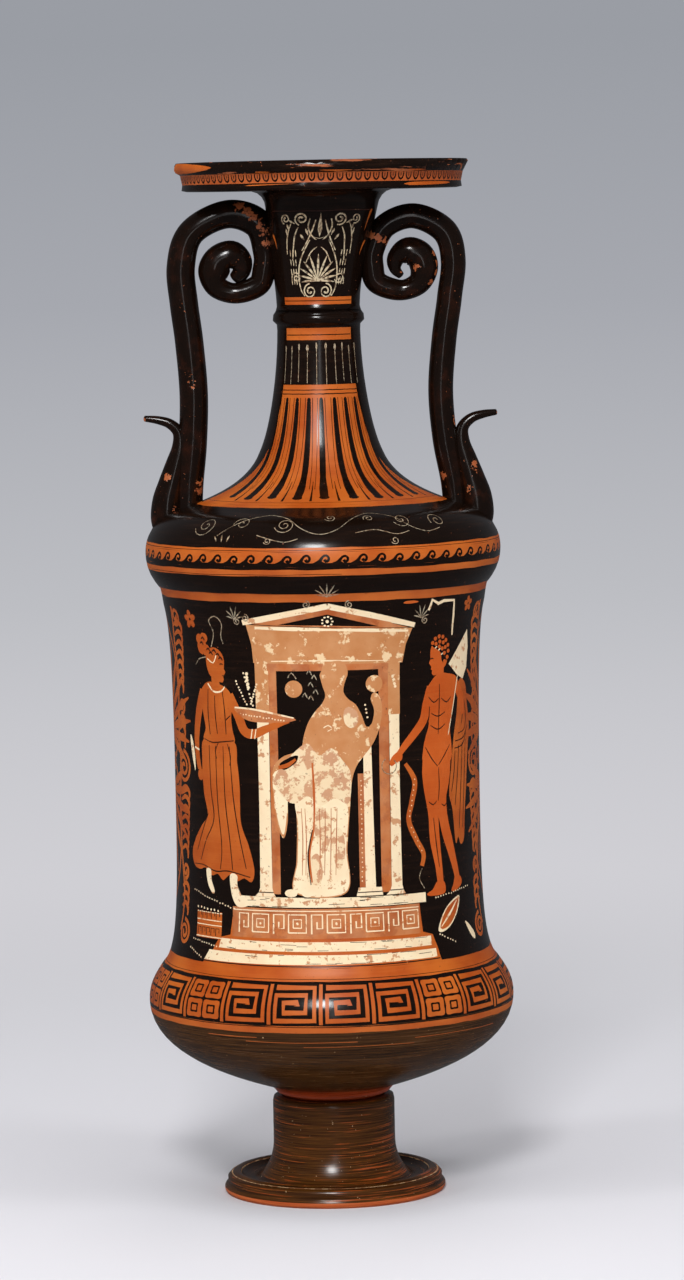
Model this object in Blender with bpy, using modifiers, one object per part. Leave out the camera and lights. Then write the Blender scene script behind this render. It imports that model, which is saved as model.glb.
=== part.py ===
"""Loutrophoros: a tall red-figure water vase with scroll handles, on its own stem foot.

Metres, +Z up. The origin is the middle of the foot's underside. The handles lie along X
and the painted front faces -Y. The vessel is hollow and open at the mouth.
"""
import math

import bmesh
import bpy

# Walls, fits and the fineness of the turned shapes
VASE_HEIGHT = 0.8800
VESSEL_WALL = 0.0075
FOOT_WALL = 0.0095
FIT_GAP = 0.0003
TURN_STEPS = 36
MERGE_DISTANCE = 0.00002
CUT_OVERRUN = 0.0200
CURVE_SAMPLES = 24

# Foot: disc with its rings, trough, hollow stem and collar
FOOT_RADIUS = 0.0949
FOOT_STAND_WIDTH = 0.0130
FOOT_BASE_BEVEL = 0.0017
FOOT_BAND_HEIGHT = 0.0080
FOOT_RING_HEIGHT = 0.0082
FOOT_RING_INSET = 0.0026
FOOT_BEAD_INSET = 0.0050
FOOT_BEAD_WIDTH = 0.0070
FOOT_BEAD_RISE = 0.0018
FOOT_RING_BULGE = 0.0033
FOOT_RING_UNDERCUT = 0.0008
FOOT_BAND_BULGE = 0.0036
FOOT_BAND_EDGE = 0.0016
TROUGH_WIDTH = 0.0130
TROUGH_DEPTH = 0.0072
STEM_RADIUS = 0.0522
STEM_FLARE_HEIGHT = 0.0330
STEM_HEIGHT = 0.0350
COLLAR_ROUNDING = 0.0042
HOLLOW_EDGE_RISE = 0.0027

# Vessel: stub, bowl, barrel and shoulder
SPIGOT_DEPTH = 0.0120
STUB_RADIUS = 0.0482
STUB_TOP_RADIUS = 0.0535
STUB_HEIGHT = 0.0085
BOWL_RADIUS = 0.1560
BOWL_DEPTH = 0.0765
BRIM_HEIGHT = 0.0310
BRIM_TURN_RADIUS = 0.1435
WAIST_RADIUS = 0.1300
BARREL_LOWER_HEIGHT = 0.1310
BARREL_TOP_RADIUS = 0.1370
CREASE_HEIGHT = 0.0120
CREASE_RADIUS = 0.1386
SHOULDER_RADIUS = 0.1511
SHOULDER_DROP = 0.0310
SHOULDER_RISE = 0.0340
SHOULDER_TOP_RADIUS = 0.1280

# Flare, neck and its ring moulding
FLARE_HEIGHT = 0.0500
FLARE_KNEE_RADIUS = 0.0520
LOWER_NECK_HEIGHT = 0.1067
NECK_RADIUS = 0.0352
RING_HEIGHT = 0.0110
RING_STAND_OUT = 0.0040
RING_FLAT = 0.0037
BEAD_HEIGHT = 0.0045
BEAD_STAND_OUT = 0.0018
UPPER_NECK_HEIGHT = 0.0864
BELL_RADIUS = 0.0480

# Mouth: cove under the plate, lower lip, egg band and upper lip
COVE_HEIGHT = 0.0114
COVE_WIDTH = 0.0140
MOUTH_RADIUS = 0.1250
LIP_STAND_OUT = 0.0053
LIP_HEIGHT = 0.0107
LIP_BULGE_HEIGHT = 0.0048
LIP_TOP_ROUNDING = 0.0027
LIP_WIDTH = 0.0110
EGG_BAND_HEIGHT = 0.0080
EGG_BAND_SLOPE = 0.0017
LOWER_LIP_HEIGHT = 0.0060
LOWER_LIP_STAND_OUT = 0.0009
LOWER_LIP_BULGE_DROP = 0.0024
LOWER_LIP_EDGE = 0.0006
DISH_SLOPE_WIDTH = 0.0060

# Handles, in the plane Y = 0; the two were rolled by hand and differ a little
HANDLE_ROOT_RADIUS = 0.1140
HANDLE_WAIST_RADIUS = {"left": 0.1072, "right": 0.1026}
HANDLE_THICKNESS = {"left": 0.0242, "right": 0.0212}
HANDLE_SINK = 0.0100
ARCH_REACH = {"left": 0.0492, "right": 0.0448}
BELLY_REACH = {"left": 0.0420, "right": 0.0400}
SCROLL_HEIGHT = 0.1978
SCROLL_RADIUS = 0.0275
SCROLL_THICKNESS = 0.0200
SCROLL_EYE = {"left": 0.0008, "right": 0.0037}
NECK_EMBED = 0.0024
NECK_SIDE_REACH = 1.03
HANDLE_STEPS = 44

# Spur on the outside of each handle's root
SPUR_HEIGHT = 0.0970
SPUR_REACH = 0.0350
SPUR_THICKNESS = 0.0270
SPUR_SINK = 0.0220
SPUR_STEPS = 11

PART_NAME = "loutrophoros"
SIDES = {"left": -1.0, "right": 1.0}

# Lower rise of a handle: share of the height up to the scroll's centre, and of the way in from
# the root to the waist. Upper rise: the same height, and the way out from the waist to the belly
LOWER_RISE_STATIONS = ((0.09, 0.20), (0.27, 0.75), (0.48, 1.00))
UPPER_RISE_STATIONS = ((0.70, 0.32), (0.87, 0.76))
# Arch over the scroll: angle round the scroll's centre, share of the arch's reach
ARCH_STATIONS = ((45.0, 0.985), (84.0, 1.0), (118.0, 0.925))
BELLY_ANGLE = 8.0
# Scroll of a handle, read round its centre from the outer side over the top:
# angle in degrees, middle of the roll and its half thickness as shares of the scroll
ROLL_STATIONS = (
    (151.0, 1.20, 1.00),
    (178.0, NECK_SIDE_REACH, 0.98),
    (203.0, 0.97, 0.95),
    (233.0, 0.75, 0.92),
    (270.0, 0.64, 0.88),
    (315.0, 0.60, 1.00),
)
# Last turn round the eye: angle, and reach of its outer side as a share of the scroll
COIL_STATIONS = {
    "left": (
        (360.0, 1.00),
        (405.0, 1.00),
        (450.0, 0.97),
        (495.0, 0.80),
        (540.0, 0.61),
        (595.0, 0.44),
    ),
    "right": (
        (360.0, 1.00),
        (405.0, 1.00),
        (450.0, 0.97),
        (495.0, 0.74),
        (540.0, 0.50),
        (595.0, 0.36),
    ),
}
# Spur: height, outward reach and thickness as shares of its own
SPUR_STATIONS = (
    (0.00, 0.54, 0.80),
    (0.12, 0.53, 1.00),
    (0.27, 0.49, 0.98),
    (0.42, 0.39, 0.85),
    (0.59, 0.26, 0.70),
    (0.74, 0.16, 0.54),
    (0.87, 0.19, 0.39),
    (0.95, 0.40, 0.32),
    (0.985, 0.69, 0.26),
    (1.00, 1.00, 0.19),
)

# Levels, stacked up from the floor
RING_TOP = FOOT_BAND_HEIGHT + FOOT_RING_HEIGHT
TROUGH_LEVEL = RING_TOP - TROUGH_DEPTH + FOOT_BEAD_RISE
STEM_LEVEL = TROUGH_LEVEL + STEM_FLARE_HEIGHT
FOOT_HEIGHT = STEM_LEVEL + STEM_HEIGHT + COLLAR_ROUNDING
SEAT_LEVEL = FOOT_HEIGHT + FIT_GAP
STUB_LEVEL = SEAT_LEVEL + STUB_HEIGHT
BOWL_LEVEL = STUB_LEVEL + BOWL_DEPTH
BRIM_LEVEL = BOWL_LEVEL + BRIM_HEIGHT
WAIST_LEVEL = BRIM_LEVEL + BARREL_LOWER_HEIGHT

# Levels above the waist, hung down from the rim; the upper barrel takes what height is left
RIM_LEVEL = VASE_HEIGHT
LIP_LEVEL = RIM_LEVEL - LIP_HEIGHT
BAND_LEVEL = LIP_LEVEL - EGG_BAND_HEIGHT
PLATE_LEVEL = BAND_LEVEL - LOWER_LIP_HEIGHT
BELL_LEVEL = PLATE_LEVEL - COVE_HEIGHT
BEAD_LEVEL = BELL_LEVEL - UPPER_NECK_HEIGHT
RING_LEVEL = BEAD_LEVEL - BEAD_HEIGHT
NECK_LEVEL = RING_LEVEL - RING_HEIGHT
KNEE_LEVEL = NECK_LEVEL - LOWER_NECK_HEIGHT
SHOULDER_TOP = KNEE_LEVEL - FLARE_HEIGHT
SHOULDER_LEVEL = SHOULDER_TOP - SHOULDER_RISE
CREASE_LEVEL = SHOULDER_LEVEL - SHOULDER_DROP
BARREL_LEVEL = CREASE_LEVEL - CREASE_HEIGHT

COLLAR_BORE = STEM_RADIUS - FOOT_WALL
SPIGOT_RADIUS = COLLAR_BORE - FIT_GAP
LOWER_BAND_RADIUS = MOUTH_RADIUS - LIP_STAND_OUT - EGG_BAND_SLOPE
LIP_INNER_RADIUS = MOUTH_RADIUS - LIP_WIDTH


class Outline:
    """Points (radius, height) of a turned shape, from the top of its outer side down."""

    def __init__(self, radius, height):
        self.points = [(radius, height)]

    def to(self, radius, height):
        self.points.append((radius, height))

    def bend(self, radius, height, leave, arrive, count):
        """A cubic curve. leave and arrive pull it, as shares of its width and its height."""
        start_radius, start_height = self.points[-1]
        width = radius - start_radius
        rise = height - start_height
        for step in range(1, count + 1):
            t = step / count
            first = 3.0 * (1.0 - t) ** 2 * t
            second = 3.0 * (1.0 - t) * t ** 2
            across = first * leave[0] + second * (1.0 - arrive[0]) + t ** 3
            along = first * leave[1] + second * (1.0 - arrive[1]) + t ** 3
            self.points.append((start_radius + width * across, start_height + rise * along))


def inset(points, wall):
    """The points moved towards the inside of the wall, square to the outline."""
    moved = []
    last = len(points) - 1
    for index, (radius, height) in enumerate(points):
        before = points[max(index - 1, 0)]
        after = points[min(index + 1, last)]
        across = after[0] - before[0]
        along = after[1] - before[1]
        length = math.hypot(across, along)
        moved.append((radius + wall * along / length, height - wall * across / length))
    return moved


def body_outline(fine):
    """Neck, shoulder, barrel and bowl from under the mouth down to the stub.

    The fine outline has the ring moulding and more points; the plain one is for the inside.
    """
    line = Outline(BELL_RADIUS + COVE_WIDTH, PLATE_LEVEL)
    line.bend(BELL_RADIUS, BELL_LEVEL, (0.55, 0.0), (0.1, 0.55), 3 if fine else 2)
    line.bend(NECK_RADIUS, BEAD_LEVEL, (0.35, 0.3), (0.1, 0.35), 3 if fine else 2)
    if fine:
        bead_middle = BEAD_LEVEL - BEAD_HEIGHT / 2.0
        ring_middle = RING_LEVEL - RING_HEIGHT / 2.0
        line.to(NECK_RADIUS + BEAD_STAND_OUT, bead_middle)
        line.to(NECK_RADIUS + BEAD_STAND_OUT / 2.0, RING_LEVEL)
        line.to(NECK_RADIUS + RING_STAND_OUT, ring_middle + RING_FLAT / 2.0)
        line.to(NECK_RADIUS + RING_STAND_OUT, ring_middle - RING_FLAT / 2.0)
    line.to(NECK_RADIUS, NECK_LEVEL)
    line.bend(FLARE_KNEE_RADIUS, KNEE_LEVEL, (0.0, 0.4), (0.5, 0.16), 4 if fine else 2)
    line.bend(SHOULDER_TOP_RADIUS, SHOULDER_TOP, (0.12, 0.5), (0.5, 0.22), 4 if fine else 2)
    line.bend(SHOULDER_RADIUS, SHOULDER_LEVEL, (0.5, 0.14), (0.0, 0.5), 3 if fine else 2)
    line.bend(CREASE_RADIUS, CREASE_LEVEL, (0.0, 0.5), (0.45, 0.2), 3 if fine else 2)
    line.to(BARREL_TOP_RADIUS, BARREL_LEVEL)
    line.bend(WAIST_RADIUS, WAIST_LEVEL, (0.85, 0.12), (0.0, 0.6), 4 if fine else 2)
    line.bend(BRIM_TURN_RADIUS, BRIM_LEVEL, (0.0, 0.62), (0.87, 0.08), 4 if fine else 2)
    line.bend(BOWL_RADIUS, BOWL_LEVEL, (0.5, 0.3), (0.0, 0.45), 2)
    line.bend(STUB_TOP_RADIUS, STUB_LEVEL, (0.0, 0.52), (0.5, 0.2), 5 if fine else 3)
    return line.points


def vessel_outline():
    """Whole outer side of the vessel as a solid body, from the axis at the rim to the axis below."""
    line = Outline(0.0, RIM_LEVEL)
    line.to(MOUTH_RADIUS - LIP_TOP_ROUNDING, RIM_LEVEL)
    line.bend(MOUTH_RADIUS, LIP_LEVEL + LIP_BULGE_HEIGHT, (0.55, 0.0), (0.0, 0.45), 2)
    line.bend(LOWER_BAND_RADIUS + EGG_BAND_SLOPE, LIP_LEVEL, (0.0, 0.55), (0.55, 0.0), 2)
    line.to(LOWER_BAND_RADIUS, BAND_LEVEL)
    line.to(LOWER_BAND_RADIUS + LOWER_LIP_STAND_OUT, BAND_LEVEL - LOWER_LIP_BULGE_DROP)
    line.to(LOWER_BAND_RADIUS - LOWER_LIP_STAND_OUT, PLATE_LEVEL + LOWER_LIP_EDGE)
    line.points += body_outline(True)
    line.bend(STUB_RADIUS, SEAT_LEVEL, (0.85, 0.3), (0.0, 0.3), 2)
    line.to(SPIGOT_RADIUS, SEAT_LEVEL)
    line.to(SPIGOT_RADIUS, SEAT_LEVEL - SPIGOT_DEPTH)
    line.to(0.0, SEAT_LEVEL - SPIGOT_DEPTH)
    return line.points


def cavity_outline():
    """Inside of the vessel: the dish of the mouth, then the wall's thickness in from outside."""
    dish_floor = PLATE_LEVEL + VESSEL_WALL
    line = Outline(0.0, RIM_LEVEL + CUT_OVERRUN)
    line.to(LIP_INNER_RADIUS, RIM_LEVEL + CUT_OVERRUN)
    line.to(LIP_INNER_RADIUS, RIM_LEVEL)
    line.bend(LIP_INNER_RADIUS - DISH_SLOPE_WIDTH, dish_floor, (0.1, 0.5), (0.6, 0.0), 2)
    line.points += inset(body_outline(False), VESSEL_WALL)
    line.to(0.0, STUB_LEVEL + VESSEL_WALL)
    return line.points


def foot_outline():
    """Closed outline of the foot's wall: down the outside, across the base, up the inside."""
    ring_radius = FOOT_RADIUS - FOOT_RING_INSET
    bead_radius = ring_radius - FOOT_BEAD_INSET
    bead_inner = bead_radius - FOOT_BEAD_WIDTH
    trough_inner = bead_inner - TROUGH_WIDTH
    stand_inner = FOOT_RADIUS - FOOT_BASE_BEVEL - FOOT_STAND_WIDTH
    stem_top = FOOT_HEIGHT - COLLAR_ROUNDING
    line = Outline(COLLAR_BORE, FOOT_HEIGHT)
    line.to(STEM_RADIUS - COLLAR_ROUNDING, FOOT_HEIGHT)
    line.bend(STEM_RADIUS, stem_top, (0.55, 0.0), (0.0, 0.55), 2)
    line.to(STEM_RADIUS, STEM_LEVEL)
    line.bend(trough_inner, TROUGH_LEVEL, (0.0, 0.5), (0.5, 0.2), 3)
    line.bend(bead_inner, RING_TOP, (0.6, 0.0), (0.1, 0.5), 3)
    line.to((bead_inner + bead_radius) / 2.0, RING_TOP + FOOT_BEAD_RISE)
    line.to(bead_radius, RING_TOP)
    line.bend(ring_radius, FOOT_BAND_HEIGHT + FOOT_RING_BULGE, (0.6, 0.0), (0.0, 0.5), 2)
    line.to(ring_radius - FOOT_RING_UNDERCUT, FOOT_BAND_HEIGHT)
    line.bend(FOOT_RADIUS, FOOT_BAND_BULGE, (0.6, 0.1), (0.0, 0.5), 2)
    line.to(FOOT_RADIUS, FOOT_BAND_EDGE)
    line.to(FOOT_RADIUS - FOOT_BASE_BEVEL, 0.0)
    line.to(stand_inner, 0.0)
    line.to(stand_inner - HOLLOW_EDGE_RISE, HOLLOW_EDGE_RISE)
    line.bend(COLLAR_BORE, STEM_LEVEL, (0.62, 0.0), (0.0, 0.6), 3)
    return line.points


def new_material(name, colour, roughness):
    material = bpy.data.materials.new(name)
    material.use_nodes = True
    shader = material.node_tree.nodes["Principled BSDF"]
    shader.inputs["Base Color"].default_value = (*colour, 1.0)
    shader.inputs["Roughness"].default_value = roughness
    shader.inputs["Metallic"].default_value = 0.0
    return material


def turned(name, outline, closed, collection):
    """An object that turns the outline once about the Z axis."""
    mesh = bpy.data.meshes.new(name)
    edges = [(index, index + 1) for index in range(len(outline) - 1)]
    if closed:
        edges.append((len(outline) - 1, 0))
    mesh.from_pydata([(radius, 0.0, height) for radius, height in outline], edges, [])
    piece = bpy.data.objects.new(name, mesh)
    collection.objects.link(piece)
    screw = piece.modifiers.new("Turn", "SCREW")
    screw.axis = "Z"
    screw.angle = math.tau
    screw.steps = TURN_STEPS
    screw.render_steps = TURN_STEPS
    screw.use_merge_vertices = True
    screw.merge_threshold = MERGE_DISTANCE
    screw.use_smooth_shade = True
    return piece


def between(stations, count):
    """Points at even spacing on a smooth curve through the stations, which are number tuples."""
    dense = []
    last = len(stations) - 1
    for index in range(last):
        a = stations[max(index - 1, 0)]
        b = stations[index]
        c = stations[index + 1]
        d = stations[min(index + 2, last)]
        for step in range(CURVE_SAMPLES):
            t = step / CURVE_SAMPLES
            dense.append([
                0.5 * (2.0 * q + (r - p) * t + (2.0 * p - 5.0 * q + 4.0 * r - s) * t ** 2
                       + (3.0 * q - p - 3.0 * r + s) * t ** 3)
                for p, q, r, s in zip(a, b, c, d)
            ])
    dense.append(list(stations[-1]))
    travel = [0.0]
    for here, following in zip(dense, dense[1:]):
        travel.append(travel[-1] + math.hypot(following[0] - here[0], following[1] - here[1]))
    points = []
    index = 0
    for step in range(count):
        target = travel[-1] * step / (count - 1)
        while index < len(travel) - 2 and travel[index + 1] < target:
            index += 1
        share = (target - travel[index]) / (travel[index + 1] - travel[index])
        points.append([p + (q - p) * share for p, q in zip(dense[index], dense[index + 1])])
    return points


def radius_at(level):
    """Outer radius of the neck and shoulder at a height, read from the body's outline."""
    outline = body_outline(True)
    for (upper_radius, upper), (lower_radius, lower) in zip(outline, outline[1:]):
        if upper >= level >= lower and upper > lower:
            share = (upper - level) / (upper - lower)
            return upper_radius + (lower_radius - upper_radius) * share
    return NECK_RADIUS


def level_at(radius):
    """Height of the outside of the flare and shoulder at a radius, above the widest place."""
    outline = body_outline(True)
    for (inner, upper), (outer, lower) in zip(outline, outline[1:]):
        if inner <= radius <= outer and lower >= SHOULDER_LEVEL and upper <= NECK_LEVEL:
            return upper + (lower - upper) * (radius - inner) / (outer - inner)
    return SHOULDER_LEVEL


def handle_path(side):
    """Stations of one handle as (distance from the axis, height, half thickness)."""
    half = HANDLE_THICKNESS[side] / 2.0
    roll = SCROLL_THICKNESS / 2.0
    root_level = level_at(HANDLE_ROOT_RADIUS)
    centre_level = root_level + SCROLL_HEIGHT
    centre = radius_at(centre_level) + roll - NECK_EMBED + NECK_SIDE_REACH * SCROLL_RADIUS
    waist = HANDLE_WAIST_RADIUS[side]
    belly = centre + BELLY_REACH[side]
    path = [(HANDLE_ROOT_RADIUS, root_level - HANDLE_SINK, half)]
    for height, way in LOWER_RISE_STATIONS:
        reach = HANDLE_ROOT_RADIUS + way * (waist - HANDLE_ROOT_RADIUS)
        path.append((reach, root_level + height * SCROLL_HEIGHT, half))
    for height, way in UPPER_RISE_STATIONS:
        path.append((waist + way * (belly - waist), root_level + height * SCROLL_HEIGHT, half))
    belly_rise = BELLY_REACH[side] * math.tan(math.radians(BELLY_ANGLE))
    path.append((belly, centre_level + belly_rise, half))

    def round_centre(angle, distance, half_thickness):
        turn = math.radians(angle)
        path.append((centre + distance * math.cos(turn), centre_level + distance * math.sin(turn),
                     half_thickness))

    for angle, reach in ARCH_STATIONS:
        round_centre(angle, reach * ARCH_REACH[side], half)
    for angle, reach, thickness in ROLL_STATIONS:
        round_centre(angle, reach * SCROLL_RADIUS, thickness * roll)
    for angle, reach in COIL_STATIONS[side]:
        outside = reach * SCROLL_RADIUS
        eye = SCROLL_EYE[side]
        round_centre(angle, (outside + eye) / 2.0, (outside - eye) / 2.0)
    return path


def spur_path():
    """Stations of one spur as (distance from the axis, height, half thickness)."""
    spur_level = level_at(HANDLE_ROOT_RADIUS) - SPUR_SINK
    return [
        (HANDLE_ROOT_RADIUS + reach * SPUR_REACH, spur_level + height * SPUR_HEIGHT,
         thickness * SPUR_THICKNESS / 2.0)
        for height, reach, thickness in SPUR_STATIONS
    ]


def rolled(name, path, steps, mirror, collection):
    """A rolled strip of clay: a round tube along the path in the plane Y = 0, made a mesh."""
    curve = bpy.data.curves.new(name, "CURVE")
    curve.dimensions = "3D"
    curve.bevel_depth = 1.0
    curve.bevel_resolution = 3
    curve.use_fill_caps = True
    spline = curve.splines.new("POLY")
    points = between(path, steps)
    spline.points.add(len(points) - 1)
    for point, (reach, height, half_thickness) in zip(spline.points, points):
        point.co = (mirror * reach, 0.0, height, 1.0)
        point.radius = half_thickness
    guide = bpy.data.objects.new(name + "_path", curve)
    collection.objects.link(guide)
    bpy.context.view_layer.update()
    evaluated = guide.evaluated_get(bpy.context.evaluated_depsgraph_get())
    mesh = bpy.data.meshes.new_from_object(evaluated)
    weld = bmesh.new()
    weld.from_mesh(mesh)
    bmesh.ops.remove_doubles(weld, verts=weld.verts, dist=MERGE_DISTANCE)
    bmesh.ops.recalc_face_normals(weld, faces=weld.faces)
    weld.to_mesh(mesh)
    weld.free()
    piece = bpy.data.objects.new(name, mesh)
    piece.matrix_world = guide.matrix_world.copy()
    collection.objects.link(piece)
    bpy.data.objects.remove(guide)
    bpy.data.curves.remove(curve)
    return piece


def join_or_cut(piece, tool, operation):
    modifier = piece.modifiers.new(operation.title() + " " + tool.name, "BOOLEAN")
    modifier.operation = operation
    modifier.object = tool
    modifier.solver = "EXACT"


def as_guide(tool):
    tool.display_type = "WIRE"
    tool.hide_render = True


def make_vessel(parts, tools):
    vessel = turned("vessel", vessel_outline(), False, parts)
    for side, mirror in SIDES.items():
        handle = rolled("handle_" + side, handle_path(side), HANDLE_STEPS, mirror, tools)
        spur = rolled("spur_" + side, spur_path(), SPUR_STEPS, mirror, tools)
        for strip in (handle, spur):
            as_guide(strip)
            join_or_cut(vessel, strip, "UNION")
    cavity = turned("cavity", cavity_outline(), False, tools)
    as_guide(cavity)
    join_or_cut(vessel, cavity, "DIFFERENCE")
    vessel.data.materials.append(new_material("black gloss slip", (0.012, 0.009, 0.008), 0.22))
    return vessel


def make_foot(parts):
    foot = turned("foot", foot_outline(), True, parts)
    foot.data.materials.append(new_material("brown brushed slip", (0.06, 0.025, 0.012), 0.32))
    return foot


def build():
    for leftover in list(bpy.data.objects):
        bpy.data.objects.remove(leftover)
    parts = bpy.data.collections.new(PART_NAME)
    tools = bpy.data.collections.new("joined strips and cutters")
    for collection in (parts, tools):
        bpy.context.scene.collection.children.link(collection)
    make_foot(parts)
    make_vessel(parts, tools)
    bpy.context.view_layer.update()


build()
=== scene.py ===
"""The looks of the loutrophoros: a red-figure water vase with scroll handles on a stem foot.

Metres, +Z up, painted front towards -Y, handles along X. Painted patterns are drawn flat,
in millimetres across and up the clay, and are then wrapped round the turned body.
"""

import math
import random

import bmesh
import bpy
import numpy as np
from mathutils import Euler, Matrix, Vector
from mathutils.geometry import delaunay_2d_cdt


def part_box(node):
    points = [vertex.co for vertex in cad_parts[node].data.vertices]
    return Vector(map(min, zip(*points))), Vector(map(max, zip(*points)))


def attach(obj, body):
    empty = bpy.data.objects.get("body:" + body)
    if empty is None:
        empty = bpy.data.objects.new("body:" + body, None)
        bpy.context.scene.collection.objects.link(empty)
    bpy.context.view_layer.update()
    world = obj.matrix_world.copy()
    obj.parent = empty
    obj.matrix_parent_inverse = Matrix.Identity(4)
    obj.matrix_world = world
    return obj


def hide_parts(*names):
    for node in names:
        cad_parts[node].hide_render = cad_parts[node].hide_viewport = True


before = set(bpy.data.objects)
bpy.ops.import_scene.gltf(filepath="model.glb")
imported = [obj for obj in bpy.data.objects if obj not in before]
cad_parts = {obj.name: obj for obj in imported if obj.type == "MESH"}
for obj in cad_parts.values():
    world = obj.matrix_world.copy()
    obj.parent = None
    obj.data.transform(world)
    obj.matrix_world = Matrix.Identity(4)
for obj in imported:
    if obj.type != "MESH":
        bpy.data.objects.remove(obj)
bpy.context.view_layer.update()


# Camera: a long lens a little above the middle of the vase, looking slightly down at its front.
# The photograph hangs a touch crooked, so the camera is rolled by the same small angle.
CAMERA_DISTANCE = 4.2874
CAMERA_HEIGHT = 0.8328
CAMERA_ASIDE = 0.0147
LOOK_DOWN = 4.8
ROLL = -1.1
VIEW_ANGLE = 14.46

lens = bpy.data.cameras.new("camera")
lens.sensor_fit = "VERTICAL"
lens.angle = math.radians(VIEW_ANGLE)
lens.clip_end = 30.0
camera = bpy.data.objects.new("camera", lens)
bpy.context.scene.collection.objects.link(camera)
aim = Euler((math.radians(90.0 - LOOK_DOWN), 0.0, 0.0)).to_matrix().to_4x4()
camera.matrix_world = (Matrix.Translation((CAMERA_ASIDE, -CAMERA_DISTANCE, CAMERA_HEIGHT)) @ aim
                       @ Matrix.Rotation(math.radians(ROLL), 4, "Z"))
bpy.context.scene.camera = camera


# Floor: a round sheet of pale matt paper, swept up far away on every side so that the back can be
# looked at too. Its own lamps light it away from the vase, which a glow stands for, pale below and a
# cool grey high up. The gloss doesn't mirror it, as if black flags stood round the vase.
FLOOR_FLAT = 5.2
SWEEP_RADIUS = 3.0
SWEEP_TURN = 75.0
FLOOR_SIDES = 96
GLOW_FROM = 0.3
GLOW_WHOLE = 2.2
PAPER_HEIGHT = 2.2
RISE_PER_METRE = 0.11
PAPER_TONES = ((0.0, "d9d9dd"), (0.092, "d1d0d5"), (0.32, "bdbec3"), (0.645, "a6a8af"), (0.947, "9a9da4"))


def hexed(colour):
    """A linear colour from an sRGB hex value."""
    parts = [int(colour[place:place + 2], 16) / 255.0 for place in (0, 2, 4)]
    linear = [c / 12.92 if c <= 0.04045 else ((c + 0.055) / 1.055) ** 2.4 for c in parts]
    return (*linear, 1.0)


def add(tree, kind, sockets=None, **settings):
    """A node with its settings; a socket takes a value, or a link when given another's output."""
    made = tree.nodes.new(kind)
    for key, value in settings.items():
        setattr(made, key, value)
    for key, value in (sockets or {}).items():
        if isinstance(value, bpy.types.NodeSocket):
            tree.links.new(value, made.inputs[key])
        else:
            made.inputs[key].default_value = value
    return made


def shaded(name):
    """A new material with its node tree and its own empty output."""
    made = bpy.data.materials.new(name)
    made.use_nodes = True
    made.node_tree.nodes.clear()
    return made, made.node_tree


def ramp(tree, factor, stops):
    """A colour ramp: stops are pairs of place and sRGB hex colour."""
    made = add(tree, "ShaderNodeValToRGB", {"Fac": factor})
    while len(made.color_ramp.elements) < len(stops):
        made.color_ramp.elements.new(0.5)
    for element, (place, colour) in zip(made.color_ramp.elements, stops):
        element.position = place
        element.color = hexed(colour)
    return made.outputs["Color"]


def backdrop_paper():
    """Matt paper near the vase; farther off its own glow, darker the farther and higher it is."""
    made, tree = shaded("matt studio paper")
    spot = add(tree, "ShaderNodeTexCoord").outputs["Object"]
    height = add(tree, "ShaderNodeSeparateXYZ", {"Vector": spot}).outputs["Z"]
    level = add(tree, "ShaderNodeVectorMath", {0: spot, 1: (1.0, 1.0, 0.0)}, operation="MULTIPLY")
    reach = add(tree, "ShaderNodeVectorMath", {0: level.outputs["Vector"]},
                operation="LENGTH").outputs["Value"]
    away = add(tree, "ShaderNodeMath", {0: reach, 1: RISE_PER_METRE, 2: height}, operation="MULTIPLY_ADD")
    share = add(tree, "ShaderNodeMapRange", {"Value": away.outputs["Value"], "From Min": 0.0,
                                             "From Max": PAPER_HEIGHT})
    tone = ramp(tree, share.outputs["Result"], PAPER_TONES)
    paint = add(tree, "ShaderNodeBsdfPrincipled", {"Base Color": hexed("e2e1e6"), "Roughness": 0.9,
                                                   "Specular IOR Level": 0.15})
    glow = add(tree, "ShaderNodeEmission", {"Color": tone})
    far = add(tree, "ShaderNodeMapRange", {"Value": reach, "From Min": GLOW_FROM,
                                           "From Max": GLOW_WHOLE}, interpolation_type="SMOOTHSTEP")
    both = add(tree, "ShaderNodeMixShader", {0: far.outputs["Result"], 1: paint.outputs["BSDF"],
                                             2: glow.outputs["Emission"]})
    add(tree, "ShaderNodeOutputMaterial", {"Surface": both.outputs["Shader"]})
    return made


sweep = [(0.6, 0.0), (1.6, 0.0), (3.2, 0.0), (FLOOR_FLAT, 0.0)]
for step in range(1, 21):
    turn = math.radians(SWEEP_TURN * step / 20.0)
    sweep.append((FLOOR_FLAT + SWEEP_RADIUS * math.sin(turn),
                  SWEEP_RADIUS - SWEEP_RADIUS * math.cos(turn)))
rounds = [math.tau * side / FLOOR_SIDES for side in range(FLOOR_SIDES)]
floor_mesh = bpy.data.meshes.new("floor")
floor_mesh.from_pydata(
    [(reach * math.cos(turn), reach * math.sin(turn), height)
     for reach, height in sweep for turn in rounds],
    [],
    [tuple(range(FLOOR_SIDES))]
    + [(FLOOR_SIDES * ring + side, FLOOR_SIDES * (ring + 1) + side,
        FLOOR_SIDES * (ring + 1) + (side + 1) % FLOOR_SIDES,
        FLOOR_SIDES * ring + (side + 1) % FLOOR_SIDES)
       for ring in range(len(sweep) - 1) for side in range(FLOOR_SIDES)])
floor_mesh.shade_smooth()
floor = bpy.data.objects.new("floor", floor_mesh)
bpy.context.scene.collection.objects.link(floor)
floor.data.materials.append(backdrop_paper())
floor.visible_glossy = False


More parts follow.
